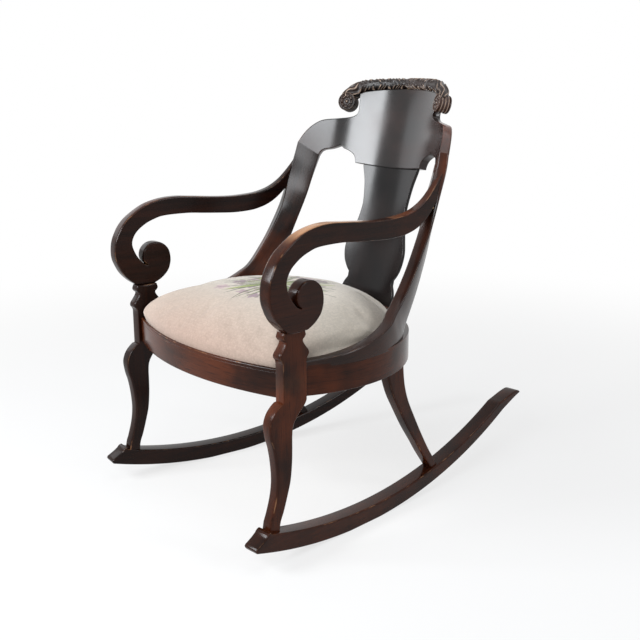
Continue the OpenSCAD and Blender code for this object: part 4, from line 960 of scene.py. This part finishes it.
def cap():
    """A roll between the crest's top line and the cap's, its section a superellipse
    (cos^0.8, sin^0.8), carved all round by up to 2.8 mm below its face."""
    half_top, half_run = resampled(smooth(scaled(CAP_TOP, SCROLL_HALF, CAP_H, 0, CREST_H), 8), CAP_SECTIONS)
    low = np.concatenate([scaled(CREST_TOP[:4], CREST_HALF, CREST_H), [[SCROLL_HALF, SCROLL_H]]])
    half_low, _ = resampled(smooth(low, 8), CAP_SECTIONS)
    top, low = (np.concatenate([(half * [-1, 1])[:0:-1], half]) for half in (half_top, half_low))
    run = np.concatenate([-half_run[:0:-1], half_run])[:, None]
    q = np.linspace(0, 2 * np.pi, CAP_AROUND, endpoint=False)
    rise, middle = (top - low) / 2, (top + low) / 2
    c, s = (np.sign(f) * np.abs(f) ** CAP_POWER for f in (np.cos(q), np.sin(q)))
    # Position round the carved side, from -1 at the back's foot over the top to 1 at the front's
    around = np.where(q < 1.5 * np.pi, (q - np.pi / 2) / np.pi, (q - 2.5 * np.pi) / np.pi)[None]
    band = np.mod(around * 2 + 1, 2) - 1
    out = np.abs(run)
    far = np.clip((out - CURL_START) / CURL_RUN, 0, 1)
    shape = leaves(out + LEAF_START, band) * (1 - far) + flutes(out, around) * far
    inset = CARVED_DEEP * (1 - np.clip(shape, 0, 1))
    grow = 1 - inset / np.maximum(np.linalg.norm(rise, axis=1)[:, None], CAP_LEAST)
    u, v = (middle[:, k, None] + rise[:, k, None] * s * grow for k in (0, 1))
    d = CAP_MID - c * (CAP_HALF_T - inset)
    points = on_back(u, v, d)
    # The relief sets the arris mark, from which the finish paints shade in the hollows and pale highlights
    # on the ridges
    carved("cap_roll", points, np.clip(shape * 1.15 - 0.1, 0, 1), run, around * CAP_GIRTH, d, CAP_WORN)


# How much smaller than the part's disc the right-hand scroll is carved, and the left-hand one
SCROLL_LESS = (2.5, 0.5)
SCROLL_STEP = 1.5  # how far the scrolls stand proud of the roll
FACE_ROWS, RIM_ROWS, SCROLL_AROUND = 34, 22, 144
# Middle and spread of the rosette's petals, veins, ring and button, as shares
PETALS, VEINS, RING, BUTTON = (0.58, 0.17), (0.5, 0.09), (0.93, 0.06), (0, 0.17)
# Ridges round the rim, their depth, and how far the rosette's outer edge is sunk
RIM_RIDGES, RIM_DEEP, EDGE_DEEP = 4, 1.3, 1.2


def cap_scroll(side, way, less):
    """A turned disc with a rosette on each face: eight petals, a ring and a button, as heights
    over the polar angle and the radius, and ridges round its rim."""
    turn = math.asin(SCROLL_HALF / BACK_R)
    radius = SCROLL_R - less
    to_rim, from_rim = np.linspace(0, 1, FACE_ROWS), np.linspace(1, 0, FACE_ROWS)
    share = np.concatenate([to_rim, np.ones(RIM_ROWS), from_rim])[:, None]
    over_rim = np.linspace(0, 1, RIM_ROWS + 2)[1:-1]
    face = np.concatenate([np.zeros(FACE_ROWS), over_rim, np.ones(FACE_ROWS)])[:, None]
    angle = np.linspace(0, 2 * np.pi, SCROLL_AROUND, endpoint=False)[None]
    flat = (face == 0) * 1.0 - (face == 1) * 1.0
    petals = np.abs(np.cos(4 * angle)) ** 0.7 * hill(share, *PETALS)
    veins = 1 - 0.35 * hill(np.mod(angle * 4 / np.pi + 0.5, 1), *VEINS)
    relief = np.clip(petals * veins + 0.9 * hill(share, *RING) + 1.1 * hill(share, *BUTTON), 0, 1.1)
    level = (CREST_T + CAP_FRONT) * face + flat * (CARVED_DEEP * (1 - relief) + EDGE_DEEP * (share > 0.985))
    rim = (flat == 0) * 1.0
    ridges = 0.5 + 0.5 * np.cos(2 * np.pi * RIM_RIDGES * face)
    rho = radius * share + 0 * angle - rim * RIM_DEEP * (1 - ridges)
    # The disc's own frame: across, up and depth from its front, about the shell's normal
    x, z, y = rho * np.cos(angle), rho * np.sin(angle), BACK_R - CAP_FRONT - SCROLL_STEP + level
    u = x * math.cos(turn) + y * math.sin(turn)
    deep = -x * math.sin(turn) + y * math.cos(turn) - BACK_R
    points = leaned(way * u, deep, SCROLL_H + z + less * 0.7)
    # The relief and the rim's ridges set the arris mark: painted shade where low, pale painted highlight
    # where high
    raised = np.clip(np.where(rim > 0, ridges, relief), 0, 1)
    carved(f"scroll_{side}", points, raised, x, z, level, SCROLL_WORN)


cap()
for (side, way), less in zip(BOTH, SCROLL_LESS):
    cap_scroll(side, way, less)

# The drop-in seat
SLIP_R, SLIP_FRONT_R, SLIP_HALF, CORNER_POWER = 268, 672, 246.955, 90
# How far the padded front corners stand out, and the widest that the seat may be to each side
BULGE, SEAT_LIMIT = 9.0, 250.8
CROWN_BASE, CROWN_H, CROWN_POWER, CROWN_ROUND, CROWN_ROWS = 376.08, 84, 2.4, 0.35, 30
SEAT_BASE, COVER_T, FRAME_TOP, WEB_T, BURLAP_T, SOFT_GAP = 358.5, 1.2, 377.7, 2, 0.8, 0.3
BURLAP_TOP = FRAME_TOP + 2 * WEB_T + BURLAP_T
TURNED_UNDER = 30  # width of the cover under the frame
# Where the front corners stand from the seat's middle, how narrow their bulge is round the seat
# and over what share of its radius it comes up
CORNER_X, CORNER_Y, CORNER_NARROW, BULGE_RUN = 247, 161, 60, 0.025


def plan_reach(angle):
    """The seat's plan as a radius: a tub joined to the legs' sides and the bowed front by a power
    mean so high that its corners are nearly sharp."""
    c, s = np.cos(angle), np.sin(angle)
    by_leg = np.minimum(SLIP_HALF / np.maximum(abs(c), 0.01), 1.3 * SLIP_R)
    side = np.where(s < 0, np.maximum(SLIP_R, by_leg), SLIP_R)
    ahead = FRONT_YC + SEAT_AHEAD
    front = ahead * s + np.sqrt(SLIP_FRONT_R**2 - (ahead * c) ** 2)
    total = (SLIP_R / side) ** CORNER_POWER + (SLIP_R / front) ** CORNER_POWER
    return SLIP_R / total ** (1 / CORNER_POWER)


def seat_rings(count):
    """Rings of the upholstery from its top to under its frame: the crown, 84 mm up by
    (1 - t^2.4)^0.35, the sides, the turned-under cover, and the hollow over the webbing."""
    angle = np.linspace(0, 2 * np.pi, count, endpoint=False)
    reach = plan_reach(angle)
    t = np.sin(np.linspace(0, np.pi / 2, CROWN_ROWS + 1)[1:]) ** 0.85
    z = CROWN_BASE + CROWN_H * np.clip(1 - t**CROWN_POWER, 0, 1) ** CROWN_ROUND
    # Each with the share of the plan's radius, the inset from it and the height
    lower = np.array([
        (1, 0, SEAT_BASE + 1.8), (1, 0.6, SEAT_BASE + 0.5), (1, 1.8, SEAT_BASE),
        (1, TURNED_UNDER, SEAT_BASE), (1, TURNED_UNDER, SEAT_BASE + COVER_T),
        (1, COVER_T, SEAT_BASE + COVER_T),
        (1, 2.1, FRAME_TOP + SOFT_GAP), (1, 15, FRAME_TOP + SOFT_GAP), (1, 17, BURLAP_TOP + SOFT_GAP),
        (0.7, 0, BURLAP_TOP + SOFT_GAP), (0.35, 0, BURLAP_TOP + SOFT_GAP), (0.05, 0, BURLAP_TOP + SOFT_GAP),
    ])
    share, inset, height = np.concatenate([np.stack([t, 0 * t, z], 1), lower]).T[..., None]
    rho = reach * share - inset
    corner = math.atan2(CORNER_Y, CORNER_X)
    near = sum(np.exp((np.cos(angle + at) - 1) * CORNER_NARROW) for at in (corner, math.pi - corner))
    rho[: len(t)] += BULGE * near * (np.exp((t - 1) / BULGE_RUN) * (t < 0.9999))[:, None]
    across = rho * np.cos(angle)
    across[: len(t) - 1] = np.clip(across[: len(t) - 1], -SEAT_LIMIT, SEAT_LIMIT)
    return np.stack([across, rho * np.sin(angle) - SEAT_AHEAD, height + 0 * rho], -1), len(t)


PUFF = 6.0  # furthest that the cloth may move out
PRESSURE, STIFFNESS, CLOTH_QUALITY, CLOTH_FRAMES = 4.0, 25, 6, 15


def puffed(thing, free):
    """Cloth under pressure over the free points, capped at PUFF, and applied."""
    start = np.array([v.co for v in thing.data.vertices])
    held = thing.vertex_groups.new(name="held")
    held.add(np.flatnonzero(~free).tolist(), 1.0, "REPLACE")
    cloth = thing.modifiers.new("cloth", "CLOTH")
    cloth.settings.vertex_group_mass = "held"
    cloth.settings.use_pressure = True
    cloth.settings.uniform_pressure_force = PRESSURE
    cloth.settings.effector_weights.gravity = 0.0
    cloth.settings.quality = CLOTH_QUALITY
    cloth.settings.tension_stiffness = cloth.settings.compression_stiffness = STIFFNESS
    scene = bpy.context.scene
    for now in range(1, CLOTH_FRAMES + 1):
        scene.frame_set(now)
    moved = thing.evaluated_get(bpy.context.evaluated_depsgraph_get()).to_mesh()
    end = np.array([v.co for v in moved.vertices])
    thing.modifiers.remove(cloth)
    thing.vertex_groups.remove(held)
    scene.frame_set(1)
    shift = end - start
    size = np.linalg.norm(shift, axis=1, keepdims=True)
    shift = shift * np.minimum(1, PUFF / 1000 / np.maximum(size, 1e-9))
    thing.data.vertices.foreach_set("co", (start + shift).ravel())


SPRIG = (-5.0, -14.0)  # its middle
# The ground's colour and the front's: the front's pink is the wool's own, and its darkness is painted shade
GROUND, GROUND_FRONT_SHADED = "#d3c9bb", "#a4897b"
PINK_SHADE_START, PINK_SHADE_RUN = 80, 200  # how far ahead of the middle the ground goes over to the front's
LEAF_GREENS = ("#74803f", "#474b34", "#99a552", "#62693f")
FLOWER_MAUVES = ("#b0979b", "#bfa5a8", "#9d868c")
# How many there are, and the lengths between which the sizes of each are drawn
FLOWERS, FLOWER_FAR, PETAL_LONG = 24, (62, 122), (11, 18)
BROAD_LEAVES, BROAD_START, BROAD_LONG, BROAD_WIDE = 14, 5, (70, 118), (5, 8)
BLADES, BLADE_START, BLADE_LONG, BLADE_WIDE = 58, (0, 30), (85, 128), (1.3, 2.6)


def sprig(x, y):
    """Thread colours over the seat at x and y in millimetres: a beige ground that goes to a darker
    pink to the front, the pink the wool's own and the darkening painted shade, small five-lobed
    flowers, r < p (1 + 0.28 cos 5q), and long leaves that bend as off = bend run^2 / long and
    taper to both ends as a sine."""
    # Toward the front the ground goes pink and darker, the darkening painted shade
    pink_and_shade = np.clip((-y - PINK_SHADE_START) / PINK_SHADE_RUN, 0, 1)[:, None]
    shade = np.array(colour(GROUND)) * (1 - pink_and_shade) + np.array(colour(GROUND_FRONT_SHADED)) * pink_and_shade
    rng = np.random.default_rng(11)
    dx, dy = x - SPRIG[0], y - SPRIG[1]

    def leaf(turn, start, long, bend, wide, tone):
        run = dx * math.cos(turn) + dy * math.sin(turn) - start
        off = -dx * math.sin(turn) + dy * math.cos(turn) - bend * run**2 / long
        taper = np.sin(np.pi * np.clip(run / long, 0, 1)) ** 0.6
        return np.where((np.abs(off) < wide * taper)[:, None], np.array(colour(tone)), shade)

    for k in range(FLOWERS):
        turn = 2 * math.pi * (k + rng.uniform(-0.3, 0.3)) / FLOWERS
        far = rng.uniform(*FLOWER_FAR)
        px, py = dx - far * math.cos(turn), dy - far * math.sin(turn)
        petal = rng.uniform(*PETAL_LONG) * (1 + 0.28 * np.cos(5 * np.arctan2(py, px) + k))
        shade = np.where((np.hypot(px, py) < petal)[:, None], np.array(colour(FLOWER_MAUVES[k % 3])), shade)
    for k in range(BROAD_LEAVES):
        shade = leaf(
            2 * math.pi * k / BROAD_LEAVES + rng.uniform(-0.2, 0.2), BROAD_START, rng.uniform(*BROAD_LONG),
            rng.uniform(-0.2, 0.2), rng.uniform(*BROAD_WIDE), LEAF_GREENS[2 if k % 3 else 0],
        )
    for k in range(BLADES):
        shade = leaf(
            2 * math.pi * (k + rng.uniform(-0.4, 0.4)) / BLADES, rng.uniform(*BLADE_START),
            rng.uniform(*BLADE_LONG), rng.uniform(-0.35, 0.35), rng.uniform(*BLADE_WIDE),
            LEAF_GREENS[(0, 1, 3, 1)[k % 4]],
        )
    return shade


def poles(points, faces, rows, n):
    """Closes a stack of rings with a fan to one point at each end."""
    ends = np.stack([points[:n].mean(0), points[-n:].mean(0)])
    k = np.arange(n)
    top = np.stack([0 * k + rows * n, (k + 1) % n, k], 1)
    bottom = np.stack([0 * k + rows * n + 1, (rows - 1) * n + k, (rows - 1) * n + (k + 1) % n], 1)
    return np.concatenate([points, ends]), [faces[0], top, bottom]


def cushion():
    """The upholstered seat: rings closed by poles, puffed by the cloth solver, then subdivided."""
    rings, crown = seat_rings(120)
    rows, n = rings.shape[:2]
    points, faces = poles(rings.reshape(-1, 3), skin(rings), rows, n)
    points[-2, 2] = CROWN_BASE + CROWN_H
    seat = piece(
        "needlework_seat", points, faces, WOOL, ["seat_cover", "seat_stuffing"],
        "drop_in_seat", sharp=180,
    )
    free = np.concatenate([np.repeat(np.arange(rows) < crown - 3, n), [True, False]])
    puffed(seat, free)
    finer = seat.modifiers.new("finer", "SUBSURF")
    finer.levels = finer.render_levels = 2
    finer.boundary_smooth = "PRESERVE_CORNERS"
    bpy.context.view_layer.update()
    baked = bpy.data.meshes.new_from_object(seat.evaluated_get(bpy.context.evaluated_depsgraph_get()))
    seat.modifiers.clear()
    seat.data = baked
    co = np.zeros(len(baked.vertices) * 3)
    baked.vertices.foreach_get("co", co)
    x, y, _ = (co.reshape(-1, 3) * 1000 + [0, MIDDLE_Y, 0]).T
    marked(baked, {"thread": sprig(x, y)})


cushion()

BANDS, BAND_GAP, BAND_WIDE, BAND_REACH = 5, 85.0, 50.0, 240
# The bands' rise and fall, the burlap's sag between them, and half the thickness of each
BAND_LIFT, BAND_HALF_T, BURLAP_SAG, BURLAP_HALF_T = 0.45, 0.6, 0.12, 0.25
BAND_INSET, BURLAP_INSET = 17.5, 17.2  # how far inside the seat's plan their edges stay


def webbing(name, across):
    """Five jute bands that pass over and under the other set's: their height is a cosine of the
    place along them, half a wave for each crossing."""
    loops = []
    for k in range(-(BANDS // 2), BANDS // 2 + 1):
        run = np.linspace(-BAND_REACH, BAND_REACH, 120)
        side = np.linspace(-BAND_WIDE / 2, BAND_WIDE / 2, 9)
        r, s = np.meshgrid(run, side + k * BAND_GAP, indexing="ij")
        x, y = (r, s) if across else (s, r)
        reach = plan_reach(np.arctan2(y, x)) - BAND_INSET
        keep = np.minimum(1, reach / np.maximum(np.hypot(x, y), 1))
        crossing = np.pi * (k if across else k + 1)
        z = FRAME_TOP + WEB_T + BAND_LIFT * np.cos(np.pi * r / BAND_GAP + crossing)
        high, low = (
            np.stack([x * keep, y * keep - SEAT_AHEAD, z + t], -1) for t in (BAND_HALF_T, -BAND_HALF_T)
        )
        loops.append(np.concatenate([high, low[:, ::-1]], 1))
    size = loops[0].shape[0] * loops[0].shape[1]
    faces = [np.concatenate([f + k * size for k in range(BANDS)]) for f in skin(loops[0])]
    points = np.concatenate(loops).reshape(-1, 3)
    piece(name, points, faces, JUTE, ["seat_webbing"], "drop_in_seat", sharp=50)


webbing("jute_bands_across", True)
webbing("jute_bands_along", False)


def burlap():
    """A sheet stretched over the bands: a grid of shares of the seat's plan, with a slack of
    less than a millimetre between the bands."""
    angle = np.linspace(0, 2 * np.pi, 160, endpoint=False)
    share = np.linspace(0.02, 1, 60)[:, None]
    reach = plan_reach(angle) - BURLAP_INSET
    x, y = share * reach * np.cos(angle), share * reach * np.sin(angle)
    sag = BURLAP_SAG * np.cos(2 * np.pi * x / BAND_GAP) * np.cos(2 * np.pi * y / BAND_GAP)
    z = FRAME_TOP + 2 * WEB_T + BURLAP_T / 2 + sag
    high, low = (np.stack([x, y - SEAT_AHEAD, z + t], -1) for t in (BURLAP_HALF_T, -BURLAP_HALF_T))
    rings = np.concatenate([high, low[::-1]])
    rows, n = rings.shape[:2]
    points, faces = poles(rings.reshape(-1, 3), skin(rings), rows, n)
    sheet = piece(
        "burlap_sheet", points, faces, BURLAP, ["seat_burlap"], "drop_in_seat", sharp=60
    )


burlap()

# What stays as the part has it
for node, finish in {
    "corner_block_front_left": PINE, "corner_block_front_right": PINE,
    "corner_block_rear_left": PINE, "corner_block_rear_right": PINE,
    "seat_frame_front": PINE, "seat_frame_rear": PINE, "seat_frame_left": PINE, "seat_frame_right": PINE,
    "leg_dowels": BEECH, "rail_dowels": BEECH, "stile_dowels": BEECH, "arm_dowels": BEECH,
    "crest_dowels": BEECH, "cap_dowels": BEECH, "corner_block_screws": STEEL, "cover_tacks": STEEL,
}.items():
    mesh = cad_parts[node].data
    mesh.materials.clear()
    mesh.materials.append(finish)


# Floor, light and camera
FLOOR_HALF, PAPER = 6.0, 0.85  # half its width in metres, and how pale it is
# Metres from the part's middle between which the floor goes up to white, and where it starts
WHITE_FROM, WHITE_TO, WHITE_START = 0.5, 2.6, 0.72
ROOM_LIGHT = 0.12  # what the white room itself gives the part


def unlit_share(tree):
    """One where the camera, a reflection or a refraction looks, and zero for light that falls."""
    share = 0.0
    for ray in ("Is Camera Ray", "Is Glossy Ray", "Is Transmission Ray"):
        share = add(tree, "Math", (add(tree, "LightPath", out=ray), share), operation="MAXIMUM")
    return share


def backdrop():
    """A pale floor and world: lit paper that shows white to the camera and keeps its shadow."""
    material, tree, shader = surface("white_paper_floor")
    plug(shader, {"Base Color": (PAPER, PAPER, PAPER, 1), "Roughness": 0.9, "Specular IOR Level": 0.0})
    reach = add(tree, "VectorMath", (add(tree, "TexCoord", out="Object"),), "Value", operation="LENGTH")
    white = add(tree, "MapRange", (reach, WHITE_FROM, WHITE_TO, WHITE_START, 1.0), **SMOOTH)
    share = add(tree, "Math", (unlit_share(tree), white), **PRODUCT)
    glow = add(tree, "Emission", {"Color": (1, 1, 1, 1), "Strength": 1.0})
    both = add(tree, "MixShader", (share, shader.outputs[0], glow))
    plug(tree.nodes["Material Output"], {"Surface": both})
    mesh = bpy.data.meshes.new("floor")
    corners = [(x * FLOOR_HALF, y * FLOOR_HALF, 0) for x, y in ((-1, -1), (1, -1), (1, 1), (-1, 1))]
    mesh.from_pydata(corners, [], [(0, 1, 2, 3)])
    mesh.materials.append(material)
    floor = bpy.data.objects.new("floor", mesh)
    bpy.context.scene.collection.objects.link(floor)
    world = bpy.data.worlds.new("white_room")
    bpy.context.scene.world = world
    world.use_nodes = True
    sky = world.node_tree
    light = add(sky, "MapRange", (unlit_share(sky), 0, 1, ROOM_LIGHT, 1.0))
    plug(sky.nodes["Background"], {"Color": (1, 1, 1, 1), "Strength": light})


DAYLIGHT = (0.94, 0.97, 1.0)
# The photo's camera: its place and what it is turned to, its lens and the width of its sensor
EYE, AIM, LENS, SENSOR = (1546.38, -1200.01, 886.64), (-1.47, 98.91, 367.0), 52.116, 36.0


def turned(thing, at, toward):
    """Puts a lamp or camera at one point, turned to another, both in millimetres."""
    start, end = Vector(place(at)), Vector(place(toward))
    thing.location = start
    thing.rotation_euler = (end - start).to_track_quat("-Z", "Y").to_euler()
    bpy.context.scene.collection.objects.link(thing)


def lamp(name, at, toward, size, watts):
    """A soft box as wide and high as size, in metres."""
    light = bpy.data.lights.new(name, "AREA")
    light.shape, light.size, light.size_y, light.energy = "RECTANGLE", size[0], size[1], watts
    light.color = DAYLIGHT
    turned(bpy.data.objects.new(name, light), at, toward)


backdrop()
# Windows ahead and on both sides, whose bands show in the hollow back, and a soft top light
lamp("window_ahead", (-720, -1831, 1440), (-100, 330, 768), (1.02, 0.78), 50)
lamp("window_near", (812, -1726, 1569), (-215, 290, 768), (1.1, 0.5), 21)
lamp("window_left", (-1982, -305, 1188), (80, 325, 768), (1.26, 0.6), 3.5)
lamp("soft_top", (500, 100, 2600), (0, 60, 300), (2.0, 2.0), 19)
lamp("window_right", (2100, 900, 1300), (100, 100, 550), (0.5, 1.2), 17)

camera = bpy.data.objects.new("camera", bpy.data.cameras.new("camera"))
camera.data.sensor_width, camera.data.lens = SENSOR, LENS
turned(camera, EYE, AIM)
bpy.context.scene.camera = camera
bpy.context.scene.view_settings.view_transform = "Standard"
